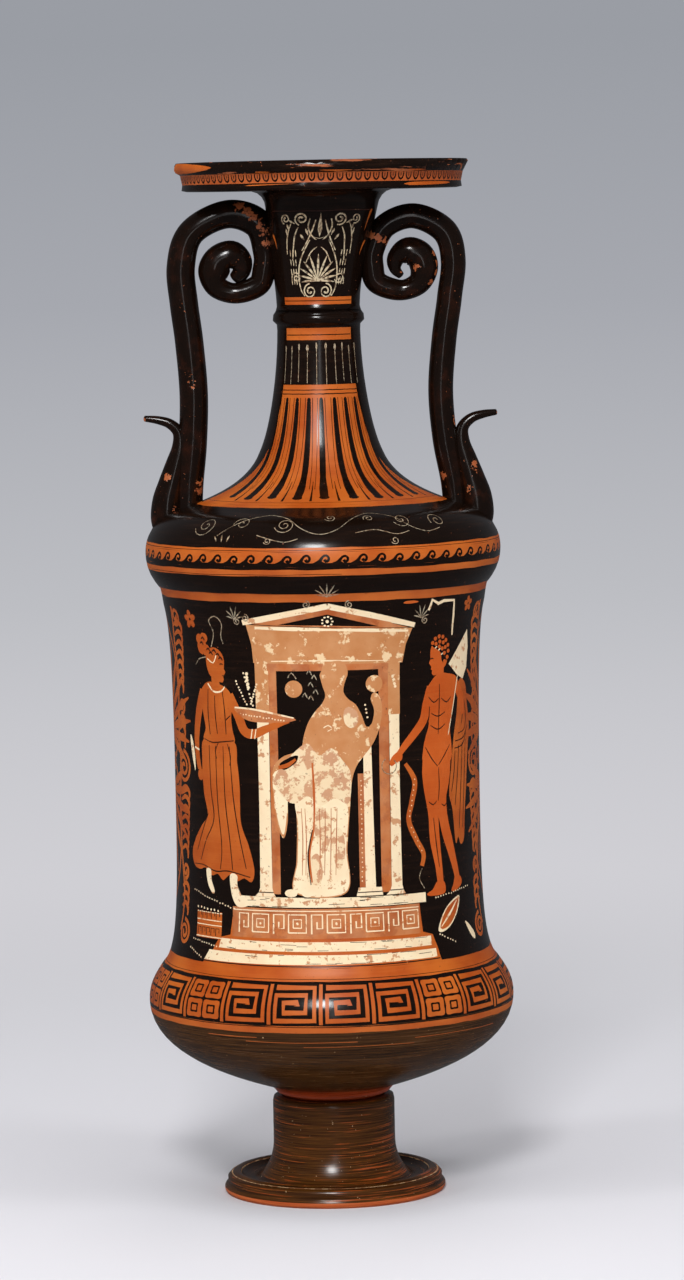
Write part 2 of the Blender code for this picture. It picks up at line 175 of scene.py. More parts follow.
# Lights: a main soft box just left of the camera and high up, a tall strip behind the camera, weaker
# boxes at both sides, a low fill, a wide overhead panel and a fill from behind. Only the main box and
# the strip show in the gloss: a small bright glint and a faint upright line.
def soft_box(name, place, target, size, watts, glints=True):
    """An area light aimed at a target; glints says whether the gloss shows it."""
    light = bpy.data.lights.new(name, "AREA")
    light.shape = "RECTANGLE"
    light.size, light.size_y = size
    light.energy = watts
    made = bpy.data.objects.new(name, light)
    made.location = place
    made.visible_glossy = glints
    made.rotation_euler = (Vector(target) - Vector(place)).to_track_quat("-Z", "Y").to_euler()
    bpy.context.scene.collection.objects.link(made)


soft_box("main soft box", (-0.35, -3.3, 2.5), (0.0, 0.0, 0.5), (0.7, 1.0), 98.0)
soft_box("right soft box", (2.4, -1.4, 1.9), (0.0, 0.0, 0.5), (0.8, 1.4), 20.0, glints=False)
soft_box("left soft box", (-2.4, -1.2, 1.7), (0.0, 0.0, 0.5), (0.5, 1.4), 20.0, glints=False)
soft_box("overhead panel", (0.0, -0.4, 3.4), (0.0, 0.2, 0.0), (2.6, 2.2), 46.0, glints=False)
soft_box("front fill", (0.3, -4.6, 1.3), (0.0, 0.0, 0.4), (2.2, 1.6), 5.0, glints=False)
soft_box("front strip", (0.1, -5.2, 1.5), (0.0, 0.0, 0.45), (0.4, 2.4), 10.0)
soft_box("back fill", (0.5, 3.6, 2.9), (0.0, 0.0, 0.4), (2.0, 1.2), 26.0, glints=False)
world = bpy.data.worlds.new("studio")
world.use_nodes = True
world.node_tree.nodes["Background"].inputs["Color"].default_value = hexed("c8cbd2")
world.node_tree.nodes["Background"].inputs["Strength"].default_value = 0.15
bpy.context.scene.world = world
bpy.context.scene.view_settings.view_transform = "Standard"


# Fired clay and slips. The body is an orange earthenware; the black is a fine clay slip fired to
# a gloss; the picture's white, cream and golden tones are added clays that flake with age.
MM = 0.001


def surface(begun, colour, roughness, bump, **sockets):
    """Finishes a begun material: colour and roughness are plain values or outputs of its tree."""
    made, tree = begun
    values = {"Base Color": colour, "Roughness": roughness, "Normal": bump}
    values.update({key.replace("_", " "): value for key, value in sockets.items()})
    paint = add(tree, "ShaderNodeBsdfPrincipled", values)
    add(tree, "ShaderNodeOutputMaterial", {"Surface": paint.outputs["BSDF"]})
    return made


def grain(tree, size, stretch=(1.0, 1.0, 1.0), detail=3.0, roughness=0.55):
    """Noise on object coordinates, size in metres, stretched for wheel and brush marks."""
    spot = add(tree, "ShaderNodeTexCoord").outputs["Object"]
    placed = add(tree, "ShaderNodeMapping", {"Vector": spot, "Scale": stretch}).outputs["Vector"]
    made = add(tree, "ShaderNodeTexNoise", {"Vector": placed, "Scale": 1.0 / size, "Detail": detail,
                                            "Roughness": roughness})
    return made.outputs["Fac"]


def span(tree, value, low, high, to_low=0.0, to_high=1.0):
    """A value stretched from one range to another and clamped to it."""
    return add(tree, "ShaderNodeMapRange", {"Value": value, "From Min": low, "From Max": high,
                                            "To Min": to_low, "To Max": to_high}).outputs["Result"]


def mixed(tree, factor, first, second):
    return add(tree, "ShaderNodeMix", {0: factor, 6: first, 7: second}, data_type="RGBA").outputs[2]


def maths(tree, operation, first, second=0.0):
    return add(tree, "ShaderNodeMath", {0: first, 1: second}, operation=operation).outputs["Value"]


def bumped(tree, height, strength, distance):
    return add(tree, "ShaderNodeBump", {"Height": height, "Strength": strength,
                                        "Distance": distance}).outputs["Normal"]


def wheel_marks(tree):
    """Fine level lines left by the potter's wheel and the brush on the turning vase."""
    return grain(tree, 14 * MM, stretch=(0.35, 0.35, 9.0), detail=4.0)


def black_slip(name, wear, brown="2c1a10", gloss=0.13, streaky=False, thrown=True):
    """Glossy black slip: deep brown-black, thin and reddish in streaks, chipped to the clay.

    wear lowers the threshold of the chips, so that edges and handles show more of them. Streaky
    slip is also worn through in long level streaks. What wasn't thrown has no wheel marks. The
    mesh's own attribute "bare" says where more of the slip is worn off.
    """
    made, tree = shaded(name)
    lines = wheel_marks(tree) if thrown else grain(tree, 12 * MM, detail=5.0)
    streaks = span(tree, lines, 0.5, 0.78)
    cloud = span(tree, grain(tree, 60 * MM, detail=2.0), 0.35, 0.7)
    thin = maths(tree, "MULTIPLY", streaks, cloud)
    tone = mixed(tree, thin, hexed("120905"), hexed(brown))
    patches = span(tree, grain(tree, 26 * MM, detail=4.0, roughness=0.7), 0.70 - wear, 0.72 - wear)
    flecks = span(tree, grain(tree, 2.6 * MM, detail=3.0, roughness=0.6), 0.722 - 0.4 * wear,
                  0.745 - 0.4 * wear)
    inside = span(tree, grain(tree, 5 * MM, detail=3.0), 0.52, 0.56)
    chips = maths(tree, "MAXIMUM", flecks, maths(tree, "MULTIPLY", patches, inside))
    worn = add(tree, "ShaderNodeAttribute", attribute_name="bare").outputs["Fac"]
    ragged = maths(tree, "MULTIPLY", grain(tree, 3.4 * MM, detail=4.0, roughness=0.65), 1.6)
    chips = maths(tree, "MAXIMUM", chips, span(tree, maths(tree, "ADD", worn, ragged), 1.34, 1.4))
    if streaky:
        rubbed = grain(tree, 30 * MM, stretch=(0.7, 0.7, 9.0), detail=4.0, roughness=0.6)
        chips = maths(tree, "MAXIMUM", chips, span(tree, rubbed, 0.60, 0.63))
    clay = mixed(tree, grain(tree, 9 * MM), hexed("7a3216"), hexed("b5683c"))
    colour = mixed(tree, chips, tone, clay)
    dull = maths(tree, "ADD", span(tree, grain(tree, 30 * MM, detail=5.0), 0.3, 0.7, gloss, gloss + 0.1),
                 maths(tree, "MULTIPLY", chips, 0.35))
    relief = maths(tree, "SUBTRACT", maths(tree, "MULTIPLY", lines, 0.6), chips)
    bump = bumped(tree, relief, 0.16 if thrown else 0.4, 0.35 * MM)
    return surface((made, tree), colour, dull, bump, IOR=1.42, Specular_IOR_Level=0.42)


def bare_clay(name, dark, light):
    """Reserved clay: warm orange earthenware burnished to a low sheen, with level wheel lines."""
    made, tree = shaded(name)
    cloud = grain(tree, 45 * MM, detail=3.0)
    tone = mixed(tree, span(tree, cloud, 0.35, 0.68), hexed(dark), hexed(light))
    lines = span(tree, wheel_marks(tree), 0.42, 0.66)
    tone = mixed(tree, maths(tree, "MULTIPLY", lines, 0.16), tone, hexed("c46c34"))
    specks = span(tree, grain(tree, 2.2 * MM, detail=2.0), 0.70, 0.74)
    tone = mixed(tree, maths(tree, "MULTIPLY", specks, 0.7), tone, hexed("6b2c12"))
    dull = span(tree, cloud, 0.3, 0.7, 0.34, 0.46)
    return surface((made, tree), tone, dull, bumped(tree, wheel_marks(tree), 0.12, 0.4 * MM), IOR=1.45,
                   Specular_IOR_Level=0.36)


def flaked(name, whole, worn, share, size):
    """Added clay paint that has flaked: the whole colour where it holds, the worn one where not."""
    made, tree = shaded(name)
    patches = grain(tree, size, detail=6.0, roughness=0.68)
    holds = span(tree, patches, share - 0.015, share + 0.015)
    tone = mixed(tree, holds, hexed(worn), hexed(whole))
    shade = span(tree, grain(tree, 16 * MM, detail=3.0), 0.3, 0.7)
    tone = mixed(tree, maths(tree, "MULTIPLY", shade, 0.3), tone, hexed("d9a878"))
    grime = span(tree, grain(tree, 3.2 * MM, detail=4.0, roughness=0.7), 0.66, 0.70)
    tone = mixed(tree, maths(tree, "MULTIPLY", grime, 0.8), tone, hexed("5a3420"))
    relief = maths(tree, "SUBTRACT", holds, grime)
    return surface((made, tree), tone, 0.62, bumped(tree, relief, 0.35, 0.3 * MM), IOR=1.45)


def brushed_slip(name, ground, streak, share, gloss):
    """Thin brown slip brushed on as the piece turned: level strokes that let the clay through."""
    made, tree = shaded(name)
    strokes = grain(tree, 16 * MM, stretch=(0.3, 0.3, 16.0), detail=5.0, roughness=0.62)
    cloud = span(tree, grain(tree, 55 * MM, detail=3.0), 0.3, 0.7, -0.05, 0.05)
    through = span(tree, maths(tree, "ADD", strokes, cloud), share, share + 0.05)
    faint = span(tree, strokes, 0.38, 0.62)
    tone = mixed(tree, faint, hexed(ground[0]), hexed(ground[1]))
    tone = mixed(tree, maths(tree, "MULTIPLY", through, 0.75), tone, hexed(streak))
    specks = span(tree, grain(tree, 2.4 * MM, detail=2.0), 0.735, 0.76)
    tone = mixed(tree, specks, tone, hexed("c9a276"))
    dull = span(tree, strokes, 0.3, 0.7, gloss, gloss + 0.12)
    return surface((made, tree), tone, dull, bumped(tree, strokes, 0.22, 0.4 * MM), IOR=1.5,
                   Specular_IOR_Level=0.36)


PAINTS = {
    "black": black_slip("black gloss slip", 0.0),
    "clay": bare_clay("reserved orange clay", "a4460f", "bd601d"),
    "cream": flaked("added cream white", "ecd9b4", "c08a60", 0.41, 8 * MM),
    "tan": flaked("worn golden added clay", "e4c79c", "b6743f", 0.58, 11 * MM),
    "half": flaked("half flaked white", "e3cda6", "bd8a66", 0.49, 10 * MM),
    "golden": flaked("golden brown wash", "b05c22", "a14d18", 0.5, 20 * MM),
    "faint": flaked("rubbed added white", "968d78", "3a3226", 0.48, 2.4 * MM),
    "worn_white": flaked("rubbed white of the neck", "bdb092", "4c4134", 0.47, 2.6 * MM),
    "egg_clay": bare_clay("clay band of the mouth", "98441a", "b05826"),
    "lip": black_slip("black slip of the lip", 0.04, streaky=True),
    "dilute": brushed_slip("thinned dark slip", ("1c0a04", "331206"), "52200c", 0.66, 0.3),
    "skin": bare_clay("reserved clay of the youth", "b34a0e", "c65a18"),
    "edge": black_slip("black slip on the handles", 0.05, brown="33160a", gloss=0.1, thrown=False),
    "under": brushed_slip("brown slip under the bowl", ("2b190a", "503114"), "8a4a22", 0.70, 0.18),
    "stub": brushed_slip("red slip round the joint", ("74290f", "953817"), "5a1f0c", 0.62, 0.24),
    "lining": brushed_slip("thin slip inside", ("3a2115", "5a3320"), "9a5a34", 0.62, 0.4),
    "foot": brushed_slip("brown slip on the foot", ("2f1908", "57320f"), "a84a1c", 0.585, 0.15),
    # The foot's trough is coloured darker than the rest of the foot.
    "foot_dark": brushed_slip("darker brown in the trough", ("1a0f09", "3a2010"), "8a4a22", 0.68, 0.16),
    "foot_worn": flaked("rubbed edge of the foot", "c9a67c", "7a4526", 0.5, 5 * MM),
    "foot_bare": brushed_slip("bare clay at the floor", ("a8481a", "c2622c"), "7a3014", 0.66, 0.4),
}
PAINT_NAMES = list(PAINTS)


# Vessel: thrown in sections on the wheel, luted together and turned smooth, then fired as one
# hollow pot. Its outline runs from the middle of the underside up the outside to the rim, and
# down the inside to the middle of the floor within.
VESSEL_WALL = 0.0075
FIT_GAP = 0.0003
SPIGOT_DEPTH = 0.0120
SPIGOT_RADIUS = 0.0424
STUB_RADIUS = 0.0482
STUB_TOP_RADIUS = 0.0535
STUB_HEIGHT = 0.0085
BOWL_RADIUS = 0.1560
BOWL_DEPTH = 0.0765
BRIM_HEIGHT = 0.0310
BRIM_TURN_RADIUS = 0.1435
WAIST_RADIUS = 0.1300
BARREL_LOWER_HEIGHT = 0.1310
BARREL_UPPER_HEIGHT = 0.1780
BARREL_TOP_RADIUS = 0.1370
CREASE_HEIGHT = 0.0120
CREASE_RADIUS = 0.1386
SHOULDER_RADIUS = 0.1511
SHOULDER_DROP = 0.0310
SHOULDER_RISE = 0.0340
SHOULDER_TOP_RADIUS = 0.1280
FLARE_HEIGHT = 0.0500
FLARE_KNEE_RADIUS = 0.0520
LOWER_NECK_HEIGHT = 0.1067
NECK_RADIUS = 0.0352
RING_HEIGHT = 0.0110
RING_STAND_OUT = 0.0040
BEAD_HEIGHT = 0.0045
BEAD_STAND_OUT = 0.0020
BELL_RADIUS = 0.0480
COVE_HEIGHT = 0.0114
COVE_WIDTH = 0.0140
MOUTH_RADIUS = 0.1250
LIP_STAND_OUT = 0.0053
LIP_HEIGHT = 0.0107
LIP_WIDTH = 0.0110
EGG_BAND_HEIGHT = 0.0080
EGG_BAND_SLOPE = 0.0017
LOWER_LIP_HEIGHT = 0.0060
LOWER_LIP_STAND_OUT = 0.0009
LIP_EDGE_DROP = 0.0008
LIP_EDGE_WIDTH = 0.0010
DISH_SLOPE_WIDTH = 0.0060
LIP_INNER = MOUTH_RADIUS - LIP_WIDTH

foot_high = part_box("foot")[1]
vessel_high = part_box("vessel")[1]
SEAT_LEVEL = foot_high.z + FIT_GAP
STUB_LEVEL = SEAT_LEVEL + STUB_HEIGHT
BOWL_LEVEL = STUB_LEVEL + BOWL_DEPTH
BRIM_LEVEL = BOWL_LEVEL + BRIM_HEIGHT
WAIST_LEVEL = BRIM_LEVEL + BARREL_LOWER_HEIGHT
BARREL_LEVEL = WAIST_LEVEL + BARREL_UPPER_HEIGHT
CREASE_LEVEL = BARREL_LEVEL + CREASE_HEIGHT
SHOULDER_LEVEL = CREASE_LEVEL + SHOULDER_DROP
SHOULDER_TOP = SHOULDER_LEVEL + SHOULDER_RISE
KNEE_LEVEL = SHOULDER_TOP + FLARE_HEIGHT
NECK_LEVEL = KNEE_LEVEL + LOWER_NECK_HEIGHT
RING_LEVEL = NECK_LEVEL + RING_HEIGHT
BEAD_LEVEL = RING_LEVEL + BEAD_HEIGHT
RIM_LEVEL = vessel_high.z
LIP_LEVEL = RIM_LEVEL - LIP_HEIGHT
BAND_LEVEL = LIP_LEVEL - EGG_BAND_HEIGHT
PLATE_LEVEL = BAND_LEVEL - LOWER_LIP_HEIGHT
BELL_LEVEL = PLATE_LEVEL - COVE_HEIGHT
LOWER_BAND_RADIUS = MOUTH_RADIUS - LIP_STAND_OUT - EGG_BAND_SLOPE


class Outline:
    """Points (radius, height) of a turned shape, from the top of its outer side down."""

    def __init__(self, radius, height):
        self.points = [(radius, height)]

    def to(self, radius, height):
        self.points.append((radius, height))

    def bend(self, radius, height, leave, arrive, count):
        """A cubic curve. leave and arrive pull it, as shares of its width and its height."""
        start_radius, start_height = self.points[-1]
        width = radius - start_radius
        rise = height - start_height
        for step in range(1, count + 1):
            t = step / count
            first = 3.0 * (1.0 - t) ** 2 * t
            second = 3.0 * (1.0 - t) * t ** 2
            across = first * leave[0] + second * (1.0 - arrive[0]) + t ** 3
            along = first * leave[1] + second * (1.0 - arrive[1]) + t ** 3
            self.points.append((start_radius + width * across, start_height + rise * along))

    def rounds(self, centre, radii, start, end, count):
        """An arc of an ellipse about a centre, angles in degrees from straight outwards."""
        for step in range(count + 1):
            turn = math.radians(start + (end - start) * step / count)
            self.to(centre[0] + radii[0] * math.cos(turn), centre[1] + radii[1] * math.sin(turn))


def body_outline(fine):
    """The body from under the mouth down to the stub; fine adds the neck's bead and ring."""
    line = Outline(BELL_RADIUS + COVE_WIDTH, PLATE_LEVEL)
    line.bend(BELL_RADIUS, BELL_LEVEL, (0.55, 0.0), (0.1, 0.55), 10)
    line.bend(NECK_RADIUS, BEAD_LEVEL, (0.35, 0.3), (0.1, 0.35), 16)
    if fine:
        line.rounds((NECK_RADIUS, BEAD_LEVEL - BEAD_HEIGHT / 2.0),
                    (BEAD_STAND_OUT, BEAD_HEIGHT * 0.42), 80.0, -80.0, 8)
        line.rounds((NECK_RADIUS, RING_LEVEL - RING_HEIGHT / 2.0),
                    (RING_STAND_OUT, RING_HEIGHT * 0.46), 80.0, -80.0, 12)
    line.to(NECK_RADIUS, NECK_LEVEL)
    line.bend(FLARE_KNEE_RADIUS, KNEE_LEVEL, (0.0, 0.4), (0.5, 0.16), 20)
    line.bend(SHOULDER_TOP_RADIUS, SHOULDER_TOP, (0.12, 0.5), (0.5, 0.22), 20)
    line.bend(SHOULDER_RADIUS, SHOULDER_LEVEL, (0.5, 0.14), (0.0, 0.5), 12)
    line.bend(CREASE_RADIUS, CREASE_LEVEL, (0.0, 0.5), (0.45, 0.2), 10)
    line.to(BARREL_TOP_RADIUS, BARREL_LEVEL)
    line.bend(WAIST_RADIUS, WAIST_LEVEL, (0.85, 0.12), (0.0, 0.6), 20)
    line.bend(BRIM_TURN_RADIUS, BRIM_LEVEL, (0.0, 0.62), (0.87, 0.08), 18)
    line.bend(BOWL_RADIUS, BOWL_LEVEL, (0.5, 0.3), (0.0, 0.45), 10)
    line.bend(STUB_TOP_RADIUS, STUB_LEVEL, (0.0, 0.52), (0.5, 0.2), 24)
    return line.points


def inset(points, wall):
    """The points moved towards the inside of the wall, square to the outline."""
    moved = []
    last = len(points) - 1
    for index, (radius, height) in enumerate(points):
        before = points[max(index - 1, 0)]
        after = points[min(index + 1, last)]
        across = after[0] - before[0]
        along = after[1] - before[1]
        length = math.hypot(across, along)
        moved.append((radius + wall * along / length, height - wall * across / length))
    return moved


def outside_outline():
    """The whole outside, from the lip's inner edge down to the seat on the foot."""
    line = Outline(LIP_INNER, RIM_LEVEL - LIP_EDGE_DROP)
    line.to(LIP_INNER + LIP_EDGE_WIDTH, RIM_LEVEL)
    line.to(MOUTH_RADIUS - LIP_STAND_OUT / 2.0, RIM_LEVEL)
    line.bend(MOUTH_RADIUS, LIP_LEVEL + 0.45 * LIP_HEIGHT, (0.55, 0.0), (0.0, 0.45), 8)
    line.bend(LOWER_BAND_RADIUS + EGG_BAND_SLOPE, LIP_LEVEL, (0.0, 0.55), (0.55, 0.0), 8)
    line.to(LOWER_BAND_RADIUS, BAND_LEVEL)
    line.rounds((LOWER_BAND_RADIUS, BAND_LEVEL - LOWER_LIP_HEIGHT / 2.0),
                (LOWER_LIP_STAND_OUT, LOWER_LIP_HEIGHT * 0.45), 80.0, -80.0, 8)
    line.points += body_outline(True)
    line.bend(STUB_RADIUS, SEAT_LEVEL, (0.85, 0.3), (0.0, 0.3), 8)
    return line.points


outside = outside_outline()
underside = [(SPIGOT_RADIUS, SEAT_LEVEL), (SPIGOT_RADIUS, SEAT_LEVEL - SPIGOT_DEPTH),
             (0.0, SEAT_LEVEL - SPIGOT_DEPTH)]
within = Outline(*outside[0])
within.bend(LIP_INNER - DISH_SLOPE_WIDTH, PLATE_LEVEL + VESSEL_WALL, (0.1, 0.5), (0.6, 0.0), 6)
within.points += inset(body_outline(False), VESSEL_WALL)
within.to(0.0, STUB_LEVEL + VESSEL_WALL)
vessel_line = list(reversed(outside + underside)) + within.points[1:]
travel = [0.0]
for here, there in zip(vessel_line, vessel_line[1:]):
    travel.append(travel[-1] + math.dist(here, there))
TOP_INDEX = len(outside) + len(underside) - 1


def way(height):
    """Millimetres along the outline, from the middle of the underside, to a height on the outside."""
    lower = [point[1] for point in vessel_line[2:TOP_INDEX + 1]]
    return float(np.interp(height * MM, lower, travel[2:TOP_INDEX + 1])) / MM


# Painted sheets: the painter's surface, unrolled. Every painted shape is a closed outline in
# millimetres; the sheet is cut along all outlines, and each face takes the paint laid last.
LONGEST_EDGE = 5.0
CLEAR_OF_LINES = 0.7
MERGE_WITHIN = 1e-4
SPOTS_AT_ONCE = 4000
DRAWN_AT_ONCE = 2000
SEED = 7
rng = random.Random(SEED)


def smooth(points, closed=False, spacing=2.1):
    """Points along a smooth curve through the given ones."""
    count = len(points)
    made = []
    last = count if closed else count - 1
    for index in range(last):
        if closed:
            p, q, r, s = (points[(index + k) % count] for k in (-1, 0, 1, 2))
        else:
            p, q = points[max(index - 1, 0)], points[index]
            r, s = points[index + 1], points[min(index + 2, count - 1)]
        steps = max(2, int(math.dist(q, r) / spacing))
        for step in range(steps):
            t = step / steps
            made.append(tuple(
                0.5 * (2.0 * b + (c - a) * t + (2.0 * a - 5.0 * b + 4.0 * c - d) * t ** 2
                       + (3.0 * b - a - 3.0 * c + d) * t ** 3)
                for a, b, c, d in zip(p, q, r, s)))
    if not closed:
        made.append(tuple(points[-1]))
    return made


def brush(points, widths, spacing=2.1, bend=True):
    """Outline of a brush stroke along a curve; widths are spread evenly along it."""
    line = smooth(points, spacing=spacing) if bend else list(points)
    along = [0.0]
    for here, there in zip(line, line[1:]):
        along.append(along[-1] + max(math.dist(here, there), 1e-6))
    places = np.linspace(0.0, along[-1], len(widths))
    left, right = [], []
    for index, (x, y) in enumerate(line):
        before = line[max(index - 1, 0)]
        after = line[min(index + 1, len(line) - 1)]
        across = after[0] - before[0]
        up = after[1] - before[1]
        length = max(math.hypot(across, up), 1e-9)
        half = float(np.interp(along[index], places, widths)) / 2.0
        left.append((x - up / length * half, y + across / length * half))
        right.append((x + up / length * half, y - across / length * half))
    return left + right[::-1]


def block(left, low, right, high):
    """A rectangle on a sheet."""
    return [(left, low), (right, low), (right, high), (left, high)]


def oval(x, y, half_width, half_height, count=12, tilt=0.0):
    """An ellipse of a few points, tilted by degrees."""
    turn = math.radians(tilt)
    made = []
    for step in range(count):
        angle = math.tau * step / count
        a, b = half_width * math.cos(angle), half_height * math.sin(angle)
        made.append((x + a * math.cos(turn) - b * math.sin(turn),
                     y + a * math.sin(turn) + b * math.cos(turn)))
    return made


def curl(x, y, outer, inner, start, turns, widths):
    """A brush stroke wound in a spiral from its outer end to its eye; turns is signed."""
    steps = max(10, int(abs(turns) * 18))
    line = []
    for step in range(steps + 1):
        t = step / steps
        reach = outer + (inner - outer) * t
        angle = math.radians(start) + math.tau * turns * t
        line.append((x + reach * math.cos(angle), y + reach * math.sin(angle)))
    return brush(line, widths, bend=False)


def leaf(x, y, angle, length, width, curve=0.0):
    """A drop-shaped leaf from its foot, bending sideways by curve towards its round end."""
    turn = math.radians(angle)
    line = []
    for t in (0.0, 0.35, 0.7, 1.0):
        along = length * t
        aside = curve * t * t
        line.append((x + along * math.cos(turn) - aside * math.sin(turn),
                     y + along * math.sin(turn) + aside * math.cos(turn)))
    return brush(line, (0.25 * width, 0.6 * width, width, 0.9 * width, 0.2 * width))


def inside_outline(polygon, spots):
    """Which spots a closed outline winds round."""
    ring = np.array(polygon)
    x0, y0 = ring[:, 0], ring[:, 1]
    x1, y1 = np.roll(x0, -1), np.roll(y0, -1)
    winds = np.zeros(len(spots), int)
    for first in range(0, len(spots), SPOTS_AT_ONCE):
        part = slice(first, first + SPOTS_AT_ONCE)
        px = spots[part, 0:1]
        py = spots[part, 1:2]
        side = (x1 - x0) * (py - y0) - (px - x0) * (y1 - y0)
        up = (y0 <= py) & (y1 > py) & (side > 0)
        down = (y0 > py) & (y1 <= py) & (side < 0)
        winds[part] = up.sum(1) - down.sum(1)
    return winds != 0


def painted_sheet(name, degrees, low, high, radius, ground, shapes, edges, row=6.0):
    """A flat mesh of the painted sheet: x is the angle round the axis, y the way up the outline.

    edges gives the number of steps along its low and its high edge.
    """
    half = math.radians(degrees) * radius / 2.0
    points, lines = [], []

    def run(polygon):
        first = len(points)
        for a, b in zip(polygon, polygon[1:] + polygon[:1]):
            steps = max(1, math.ceil(math.dist(a, b) / LONGEST_EDGE))
            for step in range(steps):
                t = step / steps
                points.append((a[0] + (b[0] - a[0]) * t, a[1] + (b[1] - a[1]) * t))
        last = len(points)
        lines.extend((i, i + 1) for i in range(first, last - 1))
        lines.append((last - 1, first))

    rows = max(2, round((high - low) / row))
    border = [(-half + 2.0 * half * i / edges[0], low) for i in range(edges[0])]
    border += [(half, low + (high - low) * i / rows) for i in range(rows)]
    border += [(half - 2.0 * half * i / edges[1], high) for i in range(edges[1])]
    border += [(-half, high - (high - low) * i / rows) for i in range(rows)]
    points += border
    lines += [(i, (i + 1) % len(border)) for i in range(len(border))]
    laid = []
    for paint, polygon in shapes:
        kept = [(min(max(x, -half), half), min(max(y, low), high)) for x, y in polygon]
        run(kept)
        laid.append((paint, kept))
    columns = max(2, round(2.0 * half / row))
    grid = np.array([(-half + 2.0 * half * (i + 0.5 * (j % 2)) / columns, low + (high - low) * j / rows)
                     for j in range(1, rows) for i in range(1, columns)])
    drawn = np.array(points)
    for first in range(0, len(drawn), DRAWN_AT_ONCE):
        if len(grid):
            part = drawn[first:first + DRAWN_AT_ONCE]
            gap = np.hypot(grid[:, 0:1] - part[None, :, 0], grid[:, 1:2] - part[None, :, 1]).min(1)
            grid = grid[gap > CLEAR_OF_LINES]
    points += [tuple(p) for p in grid]
    cut = delaunay_2d_cdt([Vector(p) for p in points], lines, [], 0, MERGE_WITHIN, False)
    flat = np.array([tuple(p) for p in cut[0]])
    faces = np.array([tuple(f) for f in cut[2]])
    middle = flat[faces].mean(1)
    colour = np.full(len(faces), PAINT_NAMES.index(ground))
    for paint, polygon in laid:
        ring = np.array(polygon)
        near = np.where((middle >= ring.min(0)).all(1) & (middle <= ring.max(0)).all(1))[0]
        if len(near):
            hit = near[inside_outline(polygon, middle[near])]
            colour[hit] = PAINT_NAMES.index(paint)
    mesh = bpy.data.meshes.new(name)
    mesh.from_pydata([(x / radius, y * MM, 0.0) for x, y in flat], [], faces.tolist())
    mesh.attributes.new("paint", "INT", "FACE").data.foreach_set("value", colour.astype(np.int32))
    return mesh


def new_tree(name, inputs, output):
    """An empty geometry tree with its named inputs and one output of geometry."""
    tree = bpy.data.node_groups.new(name, "GeometryNodeTree")
    for socket, kind in inputs.items():
        tree.interface.new_socket(socket, in_out="INPUT", socket_type="NodeSocket" + kind)
    tree.interface.new_socket(output, in_out="OUTPUT", socket_type="NodeSocketGeometry")
    return tree, add(tree, "NodeGroupInput").outputs


def equal(tree, first, second):
    """Whether two whole numbers are equal."""
    return add(tree, "FunctionNodeCompare", {2: first, 3: second}, data_type="INT",
               operation="EQUAL").outputs["Result"]


def frieze_tree():
    """Repeats a painted tile side by side; every so many tiles the other tile takes its place."""
    tree, given = new_tree("painted frieze", {"Tile": "Geometry", "Other Tile": "Object", "Count": "Int",
                                              "Every": "Int", "Pitch": "Float"}, "Frieze")
    step = add(tree, "ShaderNodeCombineXYZ", {"X": given["Pitch"]}).outputs["Vector"]
    row = add(tree, "GeometryNodeMeshLine", {"Count": given["Count"], "Offset": step}).outputs["Mesh"]
    index = add(tree, "GeometryNodeInputIndex").outputs["Index"]
    turn = add(tree, "FunctionNodeIntegerMath", {0: index, 1: given["Every"]}, operation="MODULO")
    odd = equal(tree, turn.outputs[0], 1)
    even = add(tree, "FunctionNodeBooleanMath", {0: odd}, operation="NOT")
    other = add(tree, "GeometryNodeObjectInfo", {"Object": given["Other Tile"]}).outputs["Geometry"]
    first = add(tree, "GeometryNodeInstanceOnPoints", {
        "Points": row, "Selection": even.outputs[0], "Instance": given["Tile"]}).outputs["Instances"]
    second = add(tree, "GeometryNodeInstanceOnPoints", {
        "Points": row, "Selection": odd, "Instance": other}).outputs["Instances"]
    joined = add(tree, "GeometryNodeJoinGeometry")
    tree.links.new(first, joined.inputs[0])
    tree.links.new(second, joined.inputs[0])
    whole = add(tree, "GeometryNodeRealizeInstances", {"Geometry": joined.outputs[0]}).outputs[0]
    clad = add(tree, "GeometryNodeSetMaterial", {"Geometry": whole, "Material": PAINTS["clay"]})
    add(tree, "NodeGroupOutput", {"Frieze": clad.outputs[0]})
    return tree


def with_nodes(mesh, name, tree, inputs):
    """The plain mesh that a geometry node tree makes of a mesh or a curve."""
    piece = bpy.data.objects.new(name, mesh)
    bpy.context.scene.collection.objects.link(piece)
    modifier = piece.modifiers.new(name, "NODES")
    modifier.node_group = tree
    sockets = {item.name: item.identifier for item in tree.interface.items_tree
               if item.item_type == "SOCKET" and item.in_out == "INPUT"}
    for key, value in inputs.items():
        modifier[sockets[key]] = value
    bpy.context.view_layer.update()
    made = bpy.data.meshes.new_from_object(piece.evaluated_get(bpy.context.evaluated_depsgraph_get()))
    bpy.data.objects.remove(piece)
    return made


def frieze(name, count, tile, other, every, start=0.0):
    """A tile repeated all the way round; the first lies at the start angle, 0 being the front."""
    stand_in = bpy.data.objects.new(name + " other tile", other)
    pitch = math.tau / count
    mesh = with_nodes(tile, name, FRIEZE, {"Other Tile": stand_in, "Count": count, "Every": every,
                                           "Pitch": pitch})
    bpy.data.objects.remove(stand_in)
    mesh.transform(Matrix.Translation((start, 0.0, 0.0)))
    return mesh


FRIEZE = frieze_tree()
sheets = []


